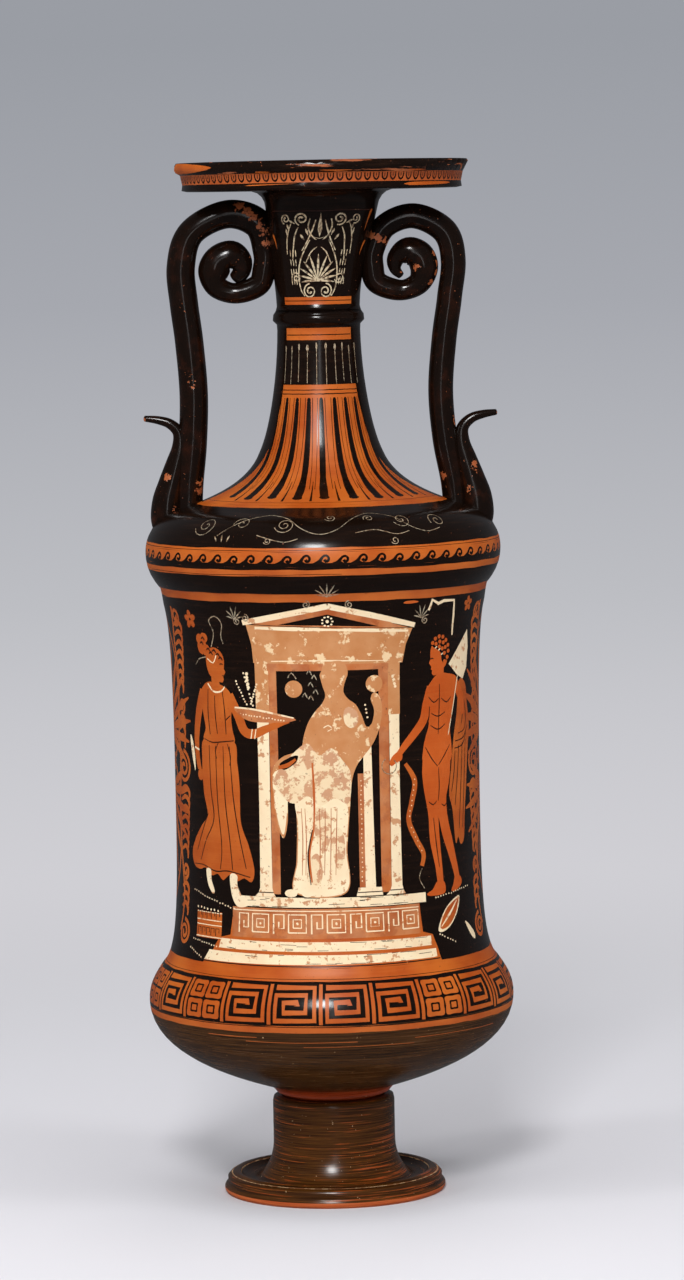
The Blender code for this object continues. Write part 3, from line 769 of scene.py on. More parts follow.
# Handles and spurs: rolled strips of clay, tapered, bent up from the shoulder, rolled into a scroll
# against the neck and luted on before firing. Each is a tube of changing thickness along a path.
HANDLE_ROOT_RADIUS = 0.1140
HANDLE_WAIST_RADIUS = {"left": 0.1072, "right": 0.1026}
HANDLE_THICKNESS = {"left": 0.0242, "right": 0.0212}
HANDLE_SINK = 0.0100
ARCH_REACH = {"left": 0.0492, "right": 0.0448}
BELLY_REACH = {"left": 0.0420, "right": 0.0400}
SCROLL_HEIGHT = 0.1978
SCROLL_RADIUS = 0.0275
SCROLL_THICKNESS = 0.0200
SCROLL_EYE = {"left": 0.0008, "right": 0.0037}
NECK_EMBED = 0.0024
NECK_SIDE_REACH = 1.03
SPUR_HEIGHT = 0.0970
SPUR_REACH = 0.0350
SPUR_THICKNESS = 0.0270
SPUR_SINK = 0.0220
LOWER_RISE = ((0.09, 0.20), (0.27, 0.75), (0.48, 1.0))
UPPER_RISE = ((0.70, 0.32), (0.87, 0.76))
ARCH = ((45, 0.985), (84, 1.0), (118, 0.925))
BELLY_ANGLE = 8.0
STRIP_SIDES = 28
STRIP_SPACING = 1.5
DOME_TURNS = (25.0, 50.0, 70.0, 83.0)
ROLL_IN = ((151, 1.20, 1.00), (178, 1.03, 0.98), (203, 0.97, 0.95), (233, 0.75, 0.92),
           (270, 0.64, 0.88), (315, 0.60, 1.00))
COIL = {"left": ((360, 1.0), (405, 1.0), (450, 0.97), (495, 0.80), (540, 0.61), (595, 0.44)),
        "right": ((360, 1.0), (405, 1.0), (450, 0.97), (495, 0.74), (540, 0.50), (595, 0.36))}
SPUR = ((0.0, 0.54, 0.80), (0.12, 0.53, 1.0), (0.27, 0.49, 0.98), (0.42, 0.39, 0.85),
        (0.59, 0.26, 0.70), (0.74, 0.16, 0.54), (0.87, 0.19, 0.39), (0.95, 0.40, 0.32),
        (0.985, 0.69, 0.26), (1.0, 1.0, 0.19))


def radius_at(height):
    """How far the outside lies from the axis at a height."""
    line = outside[::-1]
    return float(np.interp(height, [p[1] for p in line], [p[0] for p in line]))


def root_height():
    """Where the outside of the shoulder reaches the handle root's distance from the axis."""
    line = [p for p in outside if SHOULDER_LEVEL < p[1] < NECK_LEVEL]
    return float(np.interp(HANDLE_ROOT_RADIUS, [p[0] for p in line], [p[1] for p in line]))


def handle_path(side):
    """Stations of one handle as (distance from the axis, height, half thickness)."""
    half = HANDLE_THICKNESS[side] / 2.0
    roll = SCROLL_THICKNESS / 2.0
    root = root_height()
    level = root + SCROLL_HEIGHT
    centre = radius_at(level) + roll - NECK_EMBED + NECK_SIDE_REACH * SCROLL_RADIUS
    waist = HANDLE_WAIST_RADIUS[side]
    belly = centre + BELLY_REACH[side]
    path = [(HANDLE_ROOT_RADIUS, root - HANDLE_SINK, half)]
    for up, across in LOWER_RISE:
        path.append((HANDLE_ROOT_RADIUS + across * (waist - HANDLE_ROOT_RADIUS),
                     root + up * SCROLL_HEIGHT, half))
    for up, across in UPPER_RISE:
        path.append((waist + across * (belly - waist), root + up * SCROLL_HEIGHT, half))
    path.append((belly, level + BELLY_REACH[side] * math.tan(math.radians(BELLY_ANGLE)), half))
    turns = [(angle, reach * ARCH_REACH[side], half) for angle, reach in ARCH]
    turns += [(angle, reach * SCROLL_RADIUS, thick * roll) for angle, reach, thick in ROLL_IN]
    for angle, reach in COIL[side]:
        far, eye = reach * SCROLL_RADIUS, SCROLL_EYE[side]
        turns.append((angle, (far + eye) / 2.0, (far - eye) / 2.0))
    for angle, reach, thick in turns:
        turn = math.radians(angle)
        path.append((centre + reach * math.cos(turn), level + reach * math.sin(turn), thick))
    return path


def spur_path():
    """Stations of a spur, which bends outwards from the shoulder to its thin tip."""
    low = root_height() - SPUR_SINK
    return [(HANDLE_ROOT_RADIUS + across * SPUR_REACH, low + up * SPUR_HEIGHT,
             thick * SPUR_THICKNESS / 2.0) for up, across, thick in SPUR]


def strip_tree():
    """Turns a path with a thickness at each point into a closed tube with rounded ends."""
    tree, given = new_tree("rolled strip", {"Path": "Geometry", "Slip": "Material"}, "Strip")
    round_edge = add(tree, "GeometryNodeCurvePrimitiveCircle", {"Resolution": STRIP_SIDES, "Radius": 1.0})
    thick = add(tree, "GeometryNodeInputRadius").outputs[0]
    tube = add(tree, "GeometryNodeCurveToMesh", {
        "Curve": given["Path"], "Profile Curve": round_edge.outputs[0], "Scale": thick,
        "Fill Caps": True}).outputs[0]
    smoothed = add(tree, "GeometryNodeSetShadeSmooth", {"Geometry": tube}).outputs[0]
    whole = add(tree, "GeometryNodeRealizeInstances", {"Geometry": smoothed}).outputs[0]
    clad = add(tree, "GeometryNodeSetMaterial", {"Geometry": whole, "Material": given["Slip"]})
    add(tree, "NodeGroupOutput", {"Strip": clad.outputs[0]})
    return tree


def drawn_curve(name, stations):
    """A curve in the XZ plane through stations of distance along X, height and thickness."""
    curve = bpy.data.curves.new(name, "CURVE")
    curve.dimensions = "3D"
    spline = curve.splines.new("POLY")
    spline.points.add(len(stations) - 1)
    for point, (x, height, half) in zip(spline.points, stations):
        point.co = (x, 0.0, height, 1.0)
        point.radius = half
    return curve


def strip(name, path, mirror, slip, end):
    """One rolled strip. A dome closes its free end, end being the dome's height over its radius."""
    line = smooth([tuple(v / MM for v in p) for p in path], spacing=STRIP_SPACING)
    line = [tuple(v * MM for v in p) for p in line]
    (x0, z0, _), (x1, z1, last) = line[-2], line[-1]
    long = math.hypot(x1 - x0, z1 - z0)
    for turn in DOME_TURNS:
        out = end * last * math.sin(math.radians(turn)) / long
        line.append((x1 + (x1 - x0) * out, z1 + (z1 - z0) * out, last * math.cos(math.radians(turn))))
    curve = drawn_curve(name, [(mirror * reach, height, half) for reach, height, half in line])
    return with_nodes(curve, name, STRIP, {"Slip": slip})


def vertex_places(mesh):
    spots = np.zeros(len(mesh.vertices) * 3, np.float32)
    mesh.vertices.foreach_get("co", spots)
    return spots.reshape(-1, 3)


def bare(mesh, places, reach):
    """Marks where a strip's slip is worn off: 1 at the given places, falling to 0 within reach."""
    spots = vertex_places(mesh)
    worn = np.zeros(len(spots), np.float32)
    for place in places:
        gap = np.linalg.norm(spots - np.array(place) * MM, axis=1)
        worn = np.maximum(worn, 1.0 - gap / (reach * MM))
    mesh.attributes.new("bare", "FLOAT", "POINT").data.foreach_set("value", worn)


STRIP = strip_tree()
strips = []
WORN_PLACES = {
    "handle left": (((-69, -9, 843), (-63, -10, 838), (-57, -10, 833), (-52, -9, 828), (-47, -9, 821),
                     (-44, -8, 812), (-106, -6, 610), (-105, -7, 603)), 9.0),
    "handle right": (((39, -2, 819), (43, -8, 817), (49, -10.5, 814), (55, -9, 811.5), (59, -4, 809.5),
                      (98, -6, 801), (101, -5, 792), (101, -5, 784), (97, -6, 775), (84, -8, 789),
                      (103, -7, 612)), 7.0),
    "spur left": (((-152, 0, 664), (-134, -4, 640), (-131, -9, 615), (-127, -9, 588)), 7.0),
    "spur right": (((152, 0, 664), (134, -4, 644), (131, -9, 622), (126, -10, 600)), 7.0),
}
for side, mirror in (("left", -1.0), ("right", 1.0)):
    strips.append(strip("handle " + side, handle_path(side), mirror, PAINTS["edge"], 0.4))
    strips.append(strip("spur " + side, spur_path(), mirror, PAINTS["edge"], 0.5))
    for mesh, key in zip(strips[-2:], ("handle " + side, "spur " + side)):
        bare(mesh, *WORN_PLACES[key])


# Lower bowl: plain brown-black slip brushed on as the vase turned, over a redder stub, with one
# reserved stripe of clay above it.
UNDER_STEPS = 48
MEANDER_STEPS = 220
BARREL_STEPS = 240
SHOULDER_STEPS = 192
NECK_STEPS = 96
EVERYWHERE = 600.0
STRIPE_WANDER = 0.35
STRIPE_STEP = 12.0
BOWL_RING = 150.0
STUB_TOP = 93.0
BOWL_TOP = 165.7


def level(low, high, paint):
    """A level stripe between two heights, its edges drawn by hand."""
    spots = [x * STRIPE_STEP for x in range(-40, 41)]
    edges = [[rng.uniform(-STRIPE_WANDER, STRIPE_WANDER) for _ in spots[:-1]] for _ in range(2)]
    lines = [[(x, way(height) + off) for x, off in zip(spots, edge + edge[:1])]
             for height, edge in zip((low, high), edges)]
    return paint, smooth(lines[0], spacing=4.0) + smooth(lines[1], spacing=4.0)[::-1]


def uneven(paint, height, thick, radius, wave, start=-180.0, end=180.0, step=9.0):
    """A hand-drawn level line, its height and thickness wandering a little."""
    line = []
    turn = start
    while turn <= end + 0.01:
        line.append((math.radians(turn) * radius, way(height) + rng.uniform(-wave, wave)))
        turn += step
    line[-1] = (line[-1][0], line[0][1])
    return paint, brush(line, [thick * rng.uniform(0.8, 1.2) for _ in range(12)], spacing=6.0)


lower = [("stub", block(-EVERYWHERE, 0.0, EVERYWHERE, way(STUB_TOP))), level(159.4, 165.2, "clay"),
         uneven("black", 164.6, 0.7, BOWL_RING, 0.25)]
lower += [uneven("clay", height, thick, BOWL_RING, wave, start, end) for height, thick, wave, start, end in
          ((154.6, 0.6, 0.3, -42.0, -18.0), (150.8, 0.5, 0.4, -28.0, 14.0), (151.6, 0.5, 0.4, 27.0, 63.0),
           (147.0, 0.4, 0.4, -9.0, 27.0))]
sheets.append(painted_sheet("lower bowl", 360.0, 0.0, way(BOWL_TOP), BOWL_RING, "under", lower,
                            (UNDER_STEPS, MEANDER_STEPS), row=8.0))


# Meander: square spirals in reserved clay, and every fifth panel a chequer of four squares, all
# between upright bars of clay on black.
MEANDER_COUNT = 22
MEANDER_RADIUS = 147.0
MEANDER_TURN = -60.8
MEANDER_TOP = 199.6
MEANDER_WIDTHS = (4.9, 4.5, 4.9, 4.6, 4.8)
MEANDER_PATH = ((0.05, 0.92), (0.93, 0.92), (0.93, 0.08), (0.07, 0.07), (0.07, 0.71), (0.75, 0.72),
                (0.74, 0.28), (0.26, 0.27), (0.25, 0.52), (0.55, 0.53), (0.55, 0.44))
meander_low, meander_high = way(BOWL_TOP), way(MEANDER_TOP)
meander_pitch = math.tau * MEANDER_RADIUS / MEANDER_COUNT


def panel_spot(x, y):
    """A place in a panel of the meander, from its shares of the panel's width and height."""
    wide = 0.88 * meander_pitch
    tall = meander_high - meander_low - 3.0
    return (x - 0.5) * wide, meander_low + 1.5 + y * tall


bars = [("clay", block(side * meander_pitch / 2.0 - 1.5, meander_low + 0.8,
                       side * meander_pitch / 2.0 + 1.5, meander_high - 1.2)) for side in (-1, 1)]
spiral = bars + [("clay", brush([panel_spot(x, y) for x, y in MEANDER_PATH], MEANDER_WIDTHS, bend=False))]
chequer = list(bars)
for x in (0.25, 0.75):
    for y in (0.25, 0.75):
        cx, cy = panel_spot(x, y)
        chequer.append(("clay", smooth(oval(cx, cy, 8.6, 8.2, 4, 45.0), closed=True)))
        for half, paint in ((8.0, "clay"), (4.1, "black"), (2.5, "clay")):
            chequer.append((paint, smooth(
                [(cx + a * half, cy + b * half * 0.9) for a, b in
                 ((-1, -1), (0, -1.02), (1, -1), (1.02, 0), (1, 1), (0, 1.02), (-1, 1), (-1.02, 0))],
                closed=True)))
tile_steps = MEANDER_STEPS // MEANDER_COUNT
panels = [painted_sheet(name, 360.0 / MEANDER_COUNT, meander_low, meander_high, MEANDER_RADIUS,
                        "black", shapes, (tile_steps, tile_steps))
          for name, shapes in (("meander panel", spiral), ("chequer panel", chequer))]
steps_round = round((MEANDER_TURN + 180.0 - 180.0 / MEANDER_COUNT) / (360.0 / MEANDER_STEPS))
meander_start = math.radians(-180.0 + 180.0 / MEANDER_COUNT + steps_round * 360.0 / MEANDER_STEPS)
sheets.append(frieze("meander", MEANDER_COUNT, panels[0], panels[1], 5, meander_start))


# Barrel: black ground for the pictures, with reserved stripes above and below.
BARREL_RADIUS = 131.0
BARREL_TOP = 546.0
barrel = [level(200.6, 211.0, "clay"), uneven("black", 202.2, 0.5, BARREL_RADIUS, 0.3),
          level(516.0, 523.0, "clay"), level(538.4, 546.2, "clay"), level(543.6, 546.2, "black"),
          uneven("black", 539.6, 0.5, BARREL_RADIUS, 0.4, -75.0, 12.0)]


# Picture on the front: a white shrine on a stepped podium with a draped figure inside, a woman
# bringing a dish from the left and a youth with a cloak and a ribbon at the right. The figures are
# reserved in clay, their inner lines drawn in thinned slip; the shrine is added white, much flaked.
INNER_LINE = 1.45


def shape(paint, points, curved=True):
    """A filled shape of the barrel's picture, its places given across the front and as heights."""
    spots = [(x, way(height)) for x, height in points]
    barrel.append((paint, smooth(spots, closed=True) if curved else spots))


def stroke(paint, points, widths, bend=True):
    """A brush stroke of the picture; thinned slip is laid a little broader than it was measured."""
    spots = [(x, way(height)) for x, height in points]
    if paint == "dilute":
        widths = [INNER_LINE * width for width in widths]
    barrel.append((paint, brush(spots, widths, bend=bend)))


def dab(paint, x, height, wide, tall, count=12, tilt=0.0):
    """An oval dab of the picture, its half sizes in millimetres."""
    barrel.append((paint, oval(x, way(height), wide, tall, count, tilt)))


def scroll(paint, x, height, outer, inner, start, turns, widths):
    """A wound stroke of the picture, from its outer to its inner distance from the eye."""
    barrel.append((paint, curl(x, way(height), outer, inner, start, turns, widths)))


def box(paint, left, low, right, high):
    shape(paint, ((left, low), (right, low), (right, high), (left, high)), False)


def dots(paint, start, end, count, size):
    """A row of dabs from one place to another."""
    for number in range(count):
        share = number / (count - 1)
        x = start[0] + (end[0] - start[0]) * share + rng.uniform(-0.4, 0.4)
        height = start[1] + (end[1] - start[1]) * share + rng.uniform(-0.4, 0.4)
        dab(paint, x, height, size, size, 6)


def rosette(x, height, reach):
    """A small flower of five petals with a black heart, which fills the ground."""
    for number in range(5):
        turn = math.tau * (number + 0.3) / 5
        barrel.append(("clay", oval(x + 0.6 * reach * math.cos(turn),
                                    way(height) + 0.6 * reach * math.sin(turn), 0.48 * reach,
                                    0.36 * reach, 9, math.degrees(turn))))
    dab("black", x, height, 0.16 * reach, 0.16 * reach, 6)


def fan(x, y, leaves, spread, length, width, aim=90.0):
    """A palmette: leaves opening in a fan, the middle one longest."""
    made = []
    for number in range(leaves):
        share = (number - (leaves - 1) / 2.0) / ((leaves - 1) / 2.0)
        long = length * (1.0 - 0.34 * abs(share) ** 1.4)
        made.append(leaf(x, y, aim - share * spread, long, width, share * long * -0.16))
    return made


def palmette(x, height, aim, count, length, width):
    """A large reserved palmette: a heart with leaves fanning from it."""
    barrel.extend(("clay", polygon) for polygon in fan(x, way(height), count, 100.0, length, width, aim))
    dab("clay", x, height, 0.14 * length, 0.11 * length, 10)
    dab("black", x, height, 0.07 * length, 0.05 * length, 8)


def scroll_column(x, side):
    """A tall stem of scrolls with rows of drooping leaves, which frames the picture."""
    stem = ((4, 232), (-3, 262), (4, 300), (8, 335), (2, 372), (5, 410), (0, 448), (5, 480), (0, 508))
    stroke("clay", [(x + side * a, z) for a, z in stem], (3.0, 4.2, 3.4))
    for height, reach, twist, start in ((232, 11.0, 1.9, 90.0), (284, 7.0, -1.4, 250.0),
                                        (372, 14.0, 2.2, 90.0), (424, 7.0, -1.3, 250.0),
                                        (500, 8.0, -1.4, 240.0)):
        scroll("clay", x - side * 6.0, height, reach, 1.5, start, side * twist, (3.4, 3.4, 2.8, 3.6))
    for top, count, long in ((492, 7, 16.0), (412, 3, 12.0), (352, 7, 17.0), (270, 3, 13.0)):
        for number in range(count):
            height = top - 8.4 * number
            reach = long * (1.0 - 0.05 * number)
            stroke("clay", [(x + side * 2.0, height), (x - side * 0.55 * reach, height + 3.6),
                            (x - side * 0.98 * reach, height - 1.0),
                            (x - side * 0.92 * reach, height - 7.0)], (2.4, 3.8, 4.6, 2.2))


HANDLE_MIDDLE = 206.0
UPPER_STEM = ((24, 378), (38, 400), (42, 430), (34, 470), (14, 494), (0, 500))
LOWER_STEM = ((24, 372), (36, 350), (40, 322), (32, 284), (14, 260), (0, 254))
for side in (-1.0, 1.0):
    scroll_column(side * 167.0 + 5.0, side)
    scroll_column(side * 245.0, -side)
    middle = side * HANDLE_MIDDLE
    palmette(middle, 398.0, 90.0, 15, 86.0, 7.6)
    palmette(middle, 352.0, -90.0, 13, 78.0, 7.4)
    for turn in (-1.0, 1.0):
        scroll("clay", middle + turn * 15.0, 375.0, 10.0, 1.5, 90.0, turn * 1.9, (3.0, 3.0, 2.6, 3.4))
        for stem in (UPPER_STEM, LOWER_STEM):
            stroke("clay", [(middle + turn * a, z) for a, z in stem], (3.0, 3.6, 3.0))


def shrine():
    """Stepped podium with a key pattern, two columns, an architrave and a gable with its finials."""
    shape("clay", ((-118, 211), (98, 211), (96, 222), (92, 233), (82, 236), (80, 260), (-86, 260),
                   (-89, 236), (-101, 233), (-108, 222)), False)
    box("golden", -87.0, 235.0, 79.5, 260.0)
    shape("cream", ((-117, 213.4), (94, 214.2), (94, 221.2), (-112, 222.0)), False)
    shape("cream", ((-101, 224.6), (90, 224.2), (90, 232.0), (-99, 232.6)), False)
    shape("cream", ((-81, 261.2), (87, 260.6), (87, 268.6), (-80, 269.6)), False)
    for left, right, low, high in ((-116, 93, 214.5, 221.0), (-100, 89, 225.2, 231.6),
                                   (-80, 86, 261.6, 268.6)):
        for number in range(16):
            x = rng.uniform(left, right - 14.0)
            height = rng.choice((low, high, rng.uniform(low, high)))
            stroke("black", ((x, height), (x + rng.uniform(4.0, 14.0), height + rng.uniform(-0.4, 0.4))),
                   (0.5, 1.0, 0.4), False)
    for number in range(5):
        x = -80.0 + 32.5 * number
        for line, wide in ((((0, 239), (0, 255), (9, 255), (9, 243.5), (4.5, 243.5), (4.5, 249)), 1.3),
                           (((13, 240), (13, 255), (28, 255), (28, 240), (13, 240)), 1.2),
                           (((17, 244), (17, 251), (24, 251), (24, 244), (17, 244)), 1.0)):
            stroke("cream", [(x + across, height) for across, height in line], (wide,), False)
        dots("cream", (x + 20.5, 247.5), (x + 20.6, 247.5), 2, 1.0)
    stroke("cream", ((-86, 257.6), (-20, 258.0), (79, 257.2)), (0.9, 0.7))
    stroke("dilute", ((-118, 212.6), (0, 212.2), (97, 212.8)), (0.7, 0.7))
    for left, right, band in ((-59.6, -48.4, (-48.4, -41.0)), (54.0, 64.0, (45.0, 54.0))):
        box("golden", band[0], 272.0, band[1], 463.0)
        shape("cream", ((left, 272), (right, 272), (right - 0.6, 360), (right, 465), (left, 465),
                        (left + 0.5, 360)), False)
        shape("cream", ((left - 5, 269.6), (right + 3, 269.6), (right + 1, 273), (right, 277),
                        (left, 277), (left - 1.4, 273)), False)
        stroke("dilute", ((left - 1.4, 273.2), (right + 1, 273.2)), (0.6,), False)
        box("tan", left - 0.4, 420.0, right + 0.4, 465.0)
    box("golden", -49.0, 458.5, 54.0, 467.0)
    shape("tan", ((-61, 465), (67, 463), (70, 478), (76, 491.4), (-66, 497.0), (-62, 480)), False)
    stroke("cream", ((-58, 494.4), (-20, 493.4), (30, 491.6), (72, 489.2)), (2.0, 3.4, 1.6, 3.0, 1.8))
    stroke("cream", ((-45, 466.6), (0, 466.9), (50, 465.4)), (0.8, 1.2, 0.5))
    shape("golden", ((-60, 497.4), (2.7, 511.0), (72, 492.0)), False)
    shape("black", ((-38, 497.0), (2.7, 505.6), (46, 494.0), (2, 496.2)), False)
    stroke("cream", ((-69, 498.6), (-34, 504.6), (2.7, 512.2)), (4.4, 5.6, 6.6, 5.2), False)
    stroke("cream", ((2.7, 512.2), (38, 503.6), (78, 493.6)), (5.4, 6.4, 4.6, 4.0), False)
    stroke("golden", ((-50, 498.6), (2.7, 509.0), (56, 496.4)), (1.4, 1.8, 1.4), False)
    for number in range(9):
        turn = math.tau * number / 9
        barrel.append(("cream", oval(2.7 + 4.2 * math.cos(turn), way(499.6) + 4.0 * math.sin(turn),
                                     1.0, 0.8, 6)))
    dab("cream", 2.7, 499.6, 1.4, 1.4, 8)
    for x, height, count, long in ((2.7, 520.0, 7, 15.0), (-76.0, 501.0, 6, 12.0), (84.0, 499.0, 6, 12.0)):
        barrel.extend(("faint", polygon) for polygon in fan(x, way(height), count, 62.0, long, 1.1))
    for x, height, side in ((-66.0, 502.5, -1.0), (-74.0, 499.5, 1.0), (88.0, 497.0, 1.0),
                            (-14.0, 514.0, -1.0), (20.0, 513.4, 1.0)):
        scroll("faint", x, height, 3.4, 0.6, 90.0, side * 1.5, (0.9, 0.8))
    box("golden", 26.0, 277.0, 31.0, 372.0)
    dots("cream", (28.4, 282.0), (28.6, 366.0), 22, 0.6)
    shape("cream", ((31, 275), (40, 275), (39, 330), (38, 396), (31, 394)), False)
    shape("cream", ((23, 269.8), (46, 269.8), (45, 276.6), (25, 276.8)), False)
    stroke("dilute", ((24, 272.8), (46, 272.8)), (0.6,), False)
    for x, height in ((-26.4, 443.5), (41.3, 446.5)):
        dab("tan", x, height, 7.4, 7.2, 20)
    stroke("faint", ((-31, 453), (-28, 457), (-24, 452)), (0.8,))
    for x, height in ((-13, 456), (-9, 452), (-12, 446), (-8, 440), (-12, 435), (-17, 437)):
        stroke("faint", ((x - 2, height), (x, height + 3), (x + 2, height - 1)), (0.9, 1.2, 0.6))


def draped_figure():
    """The figure inside the shrine: added white flaked unevenly to tan, with few lines left."""
    shape("tan", ((7.5, 466.5), (15.5, 465.5), (19, 457), (16.5, 449), (15, 441), (19, 434.5),
                  (25, 430), (30, 421), (34, 411), (38.5, 413), (41, 424), (38, 434), (40.5, 439),
                  (44.5, 437.5), (48, 428), (46.5, 413), (42, 401), (37, 393), (31, 386), (25, 378),
                  (21, 366), (19, 345), (16, 310), (14.5, 273), (-28, 273), (-27, 300), (-26, 330),
                  (-28, 350), (-33, 354), (-34, 332), (-37.5, 319), (-42, 327), (-45.5, 347),
                  (-47, 366), (-45, 379), (-37, 387), (-27, 390.5), (-21, 394), (-18.5, 405),
                  (-14.5, 416), (-8.5, 425), (-3, 431), (0, 438), (-2, 445), (-3.5, 451),
                  (-4.4, 455), (-2.6, 459), (-1, 464)))
    shape("cream", ((-46, 372), (-37, 375), (-33, 362), (-34.5, 340), (-37.5, 322), (-41.5, 330),
                    (-45, 350)))
    shape("cream", ((-27, 349), (-16, 356), (-6, 348), (6, 354), (17, 344), (15, 310), (14, 274),
                    (-27.5, 274), (-26, 300), (-25, 330)))
    shape("half", ((-28, 390), (-16, 398), (-6, 388), (4, 394), (13, 384), (20, 372), (18, 348),
                   (6, 352), (-6, 346), (-16, 354), (-27, 348), (-36, 352), (-45, 366), (-38, 380)))
    shape("half", ((-13, 340), (-6, 346), (1, 338), (3, 324), (0, 312), (-4, 306), (-9, 316),
                   (-12, 328)))
    shape("half", ((3, 318), (8, 328), (13, 322), (14, 304), (9, 292), (5, 300)))
    shape("half", ((15, 424), (19, 428), (26, 424), (27, 415), (22, 410), (16, 414)))
    shape("half", ((-16, 300), (-9, 306), (-5, 292), (-8, 280), (-18, 284)))
    shape("black", ((-40, 381), (-30, 387), (-24, 388), (-26, 382), (-36, 376)))
    stroke("clay", ((-41, 378), (-33, 380), (-26, 385)), (3.0, 3.6, 2.0))
    stroke("clay", ((-12, 382), (-11, 352), (-12, 326), (-16, 306), (-14, 282)),
           (1.4, 2.0, 1.2, 2.2, 1.2))
    stroke("dilute", ((-13, 326), (-17, 304), (-15, 280)), (0.6, 0.9, 0.5))
    for x in (-22, -19, -7, -2, 3, 8):
        lean = rng.uniform(-1.5, 1.5)
        stroke("golden", ((x, 344), (x + lean, 318), (x + lean - 1, 288)), (0.5, 0.9, 0.5))
    for x, wide in ((-32, 5.5), (-18, 5.0), (-9, 5.4)):
        dab("cream", x, 273.0, wide, 3.4)
    dots("cream", (33, 429), (35, 419), 4, 0.9)
    stroke("cream", ((-2, 411), (2, 413), (5, 410), (1, 408)), (0.9,))


def woman(x0, side, ornaments=True):
    """A woman in profile in a long belted dress, one arm raised forward; side mirrors her."""
    def spots(*points):
        return [(x0 + side * x, height) for x, height in points]

    stroke("clay", spots((-19, 440), (-26, 421), (-30, 402), (-30, 386), (-27, 373)), (8, 9, 8, 6.5, 5.5))
    dab("clay", x0 - side * 25.5, 368.5, 4.2, 5.2)
    shape("clay", spots((-10, 447.5), (-18, 443.5), (-22.5, 436), (-19.5, 420), (-17, 408), (-20, 399),
                        (-8, 396), (6, 396), (17, 398), (15, 408), (14, 420), (17, 431), (13, 440),
                        (5, 445)))
    shape("clay", spots((-19, 399), (-23, 380), (-21.5, 354), (-17, 335), (-26, 325), (-37, 312),
                        (-42, 301), (-38.5, 291), (-29, 288), (-21, 290), (-13, 284), (-5, 286),
                        (1, 281), (9, 286), (16, 281), (24, 284), (31, 281), (34, 291), (29, 311),
                        (21.5, 331), (21, 360), (19, 380), (15, 399)))
    stroke("clay", spots((12, 437), (21, 421), (27, 408), (36, 405.5), (48, 410), (60, 414.5), (68, 417)),
           (9.5, 9, 8.5, 8, 7, 5.4, 3.4))
    shape("clay", spots((-7, 456), (-7, 444), (3, 444), (1, 455)), False)
    shape("clay", spots((-12, 471), (-12.5, 462), (-9.5, 454), (-4, 450), (2, 448), (6, 447.6), (7.4, 450),
                        (7, 452.6), (8, 454), (9.6, 456.4), (8, 459), (8.6, 463), (8, 469), (3, 475),
                        (-5, 476.5)))
    for x, height, wide, tall in ((-17, 477, 6, 7), (-14, 484, 5, 4.5), (-20, 483, 4, 4.5),
                                  (-12, 474, 5, 5)):
        dab("clay", x0 + side * x, height, wide, tall)
    for x, height in ((-17, 479), (-15, 483), (-2, 473), (2, 470), (5, 467), (-6, 471), (-9, 474)):
        stroke("dilute", spots((x - 2.4, height), (x, height + 1.6), (x + 2, height - 1)), (0.7, 1.3, 0.7))
    stroke("dilute", spots((3.4, 462.6), (5.4, 463.2), (7.2, 462.4)), (0.6, 0.8, 0.5))
    stroke("dilute", spots((7.2, 453.4), (5.6, 453.0)), (0.6, 0.4), False)
    folds = (((-13, 394), (-12, 358), (-9, 332), (-20, 313), (-28, 296)),
             ((-5, 394), (-4, 350), (0, 310), (-2, 290)), ((4, 394), (5, 350), (9, 318), (12, 290)),
             ((11, 394), (14, 352), (19, 322), (26, 292)), ((-16, 336), (-24, 322), (-33, 304)),
             ((-12, 441), (-13, 422), (-11, 403)), ((5, 441), (7, 424), (8, 404)),
             ((-4, 436), (-4, 420), (-2, 404)), ((-19, 399), (-9, 396.5), (3, 397.5), (16, 399)),
             ((-1, 397), (-5, 390), (-4, 383)), ((9, 396), (12, 386), (11, 378)), ((13, 420), (8, 416)),
             ((-38, 292), (-24, 292), (-8, 288), (8, 289), (30, 285)))
    for fold in folds:
        stroke("dilute", spots(*fold), (0.5, 0.8, 0.6))
    stroke("cream", spots((-12, 446), (-5, 439.5), (4, 440), (8, 444)), (1.3, 1.6, 1.0))
    shape("cream", spots((-20, 289), (-14, 289), (-13, 280), (-9, 271), (-12, 269), (-18, 277)))
    shape("cream", spots((9, 286), (16.5, 286), (17, 277), (24, 265), (27, 261), (17, 260), (11, 269)))
    shape("golden", spots((18, 427.4), (40, 425.8), (72, 419.6), (70, 416.4), (52, 415.4), (34, 416),
                          (23, 420.4)))
    stroke("cream", spots((18, 427.2), (40, 425.6), (72, 419.4)), (1.3, 1.7, 1.1))
    if ornaments:
        dots("cream", spots((24, 422.0))[0], spots((64, 417.2))[0], 16, 0.7)
        for start, end in (((30, 430), (20, 449)), ((36, 429), (28, 456)), ((34, 431), (40, 447))):
            dots("cream", spots(start)[0], spots(end)[0], 9, 0.9)
        for x in (33.5, 37.0):
            stroke("cream", spots((x, 401.5), (x + 1.4, 409.6)), (0.9,), False)
        stroke("cream", spots((-33.5, 391), (-27, 389)), (1.6,), False)
        shape("cream", spots((-34, 371), (-37, 378), (-40, 390), (-41, 401), (-37.5, 397), (-34, 384)))
        stroke("faint", spots((-5, 477), (-1, 489), (-5, 499), (3, 503), (9, 497), (7, 487), (9, 480)),
               (0.8,))
        stroke("faint", spots((-13, 468), (-22, 466), (-27, 461)), (0.8,))
        stroke("cream", spots((-11, 467), (-4, 463.5), (0, 470)), (1.0,))


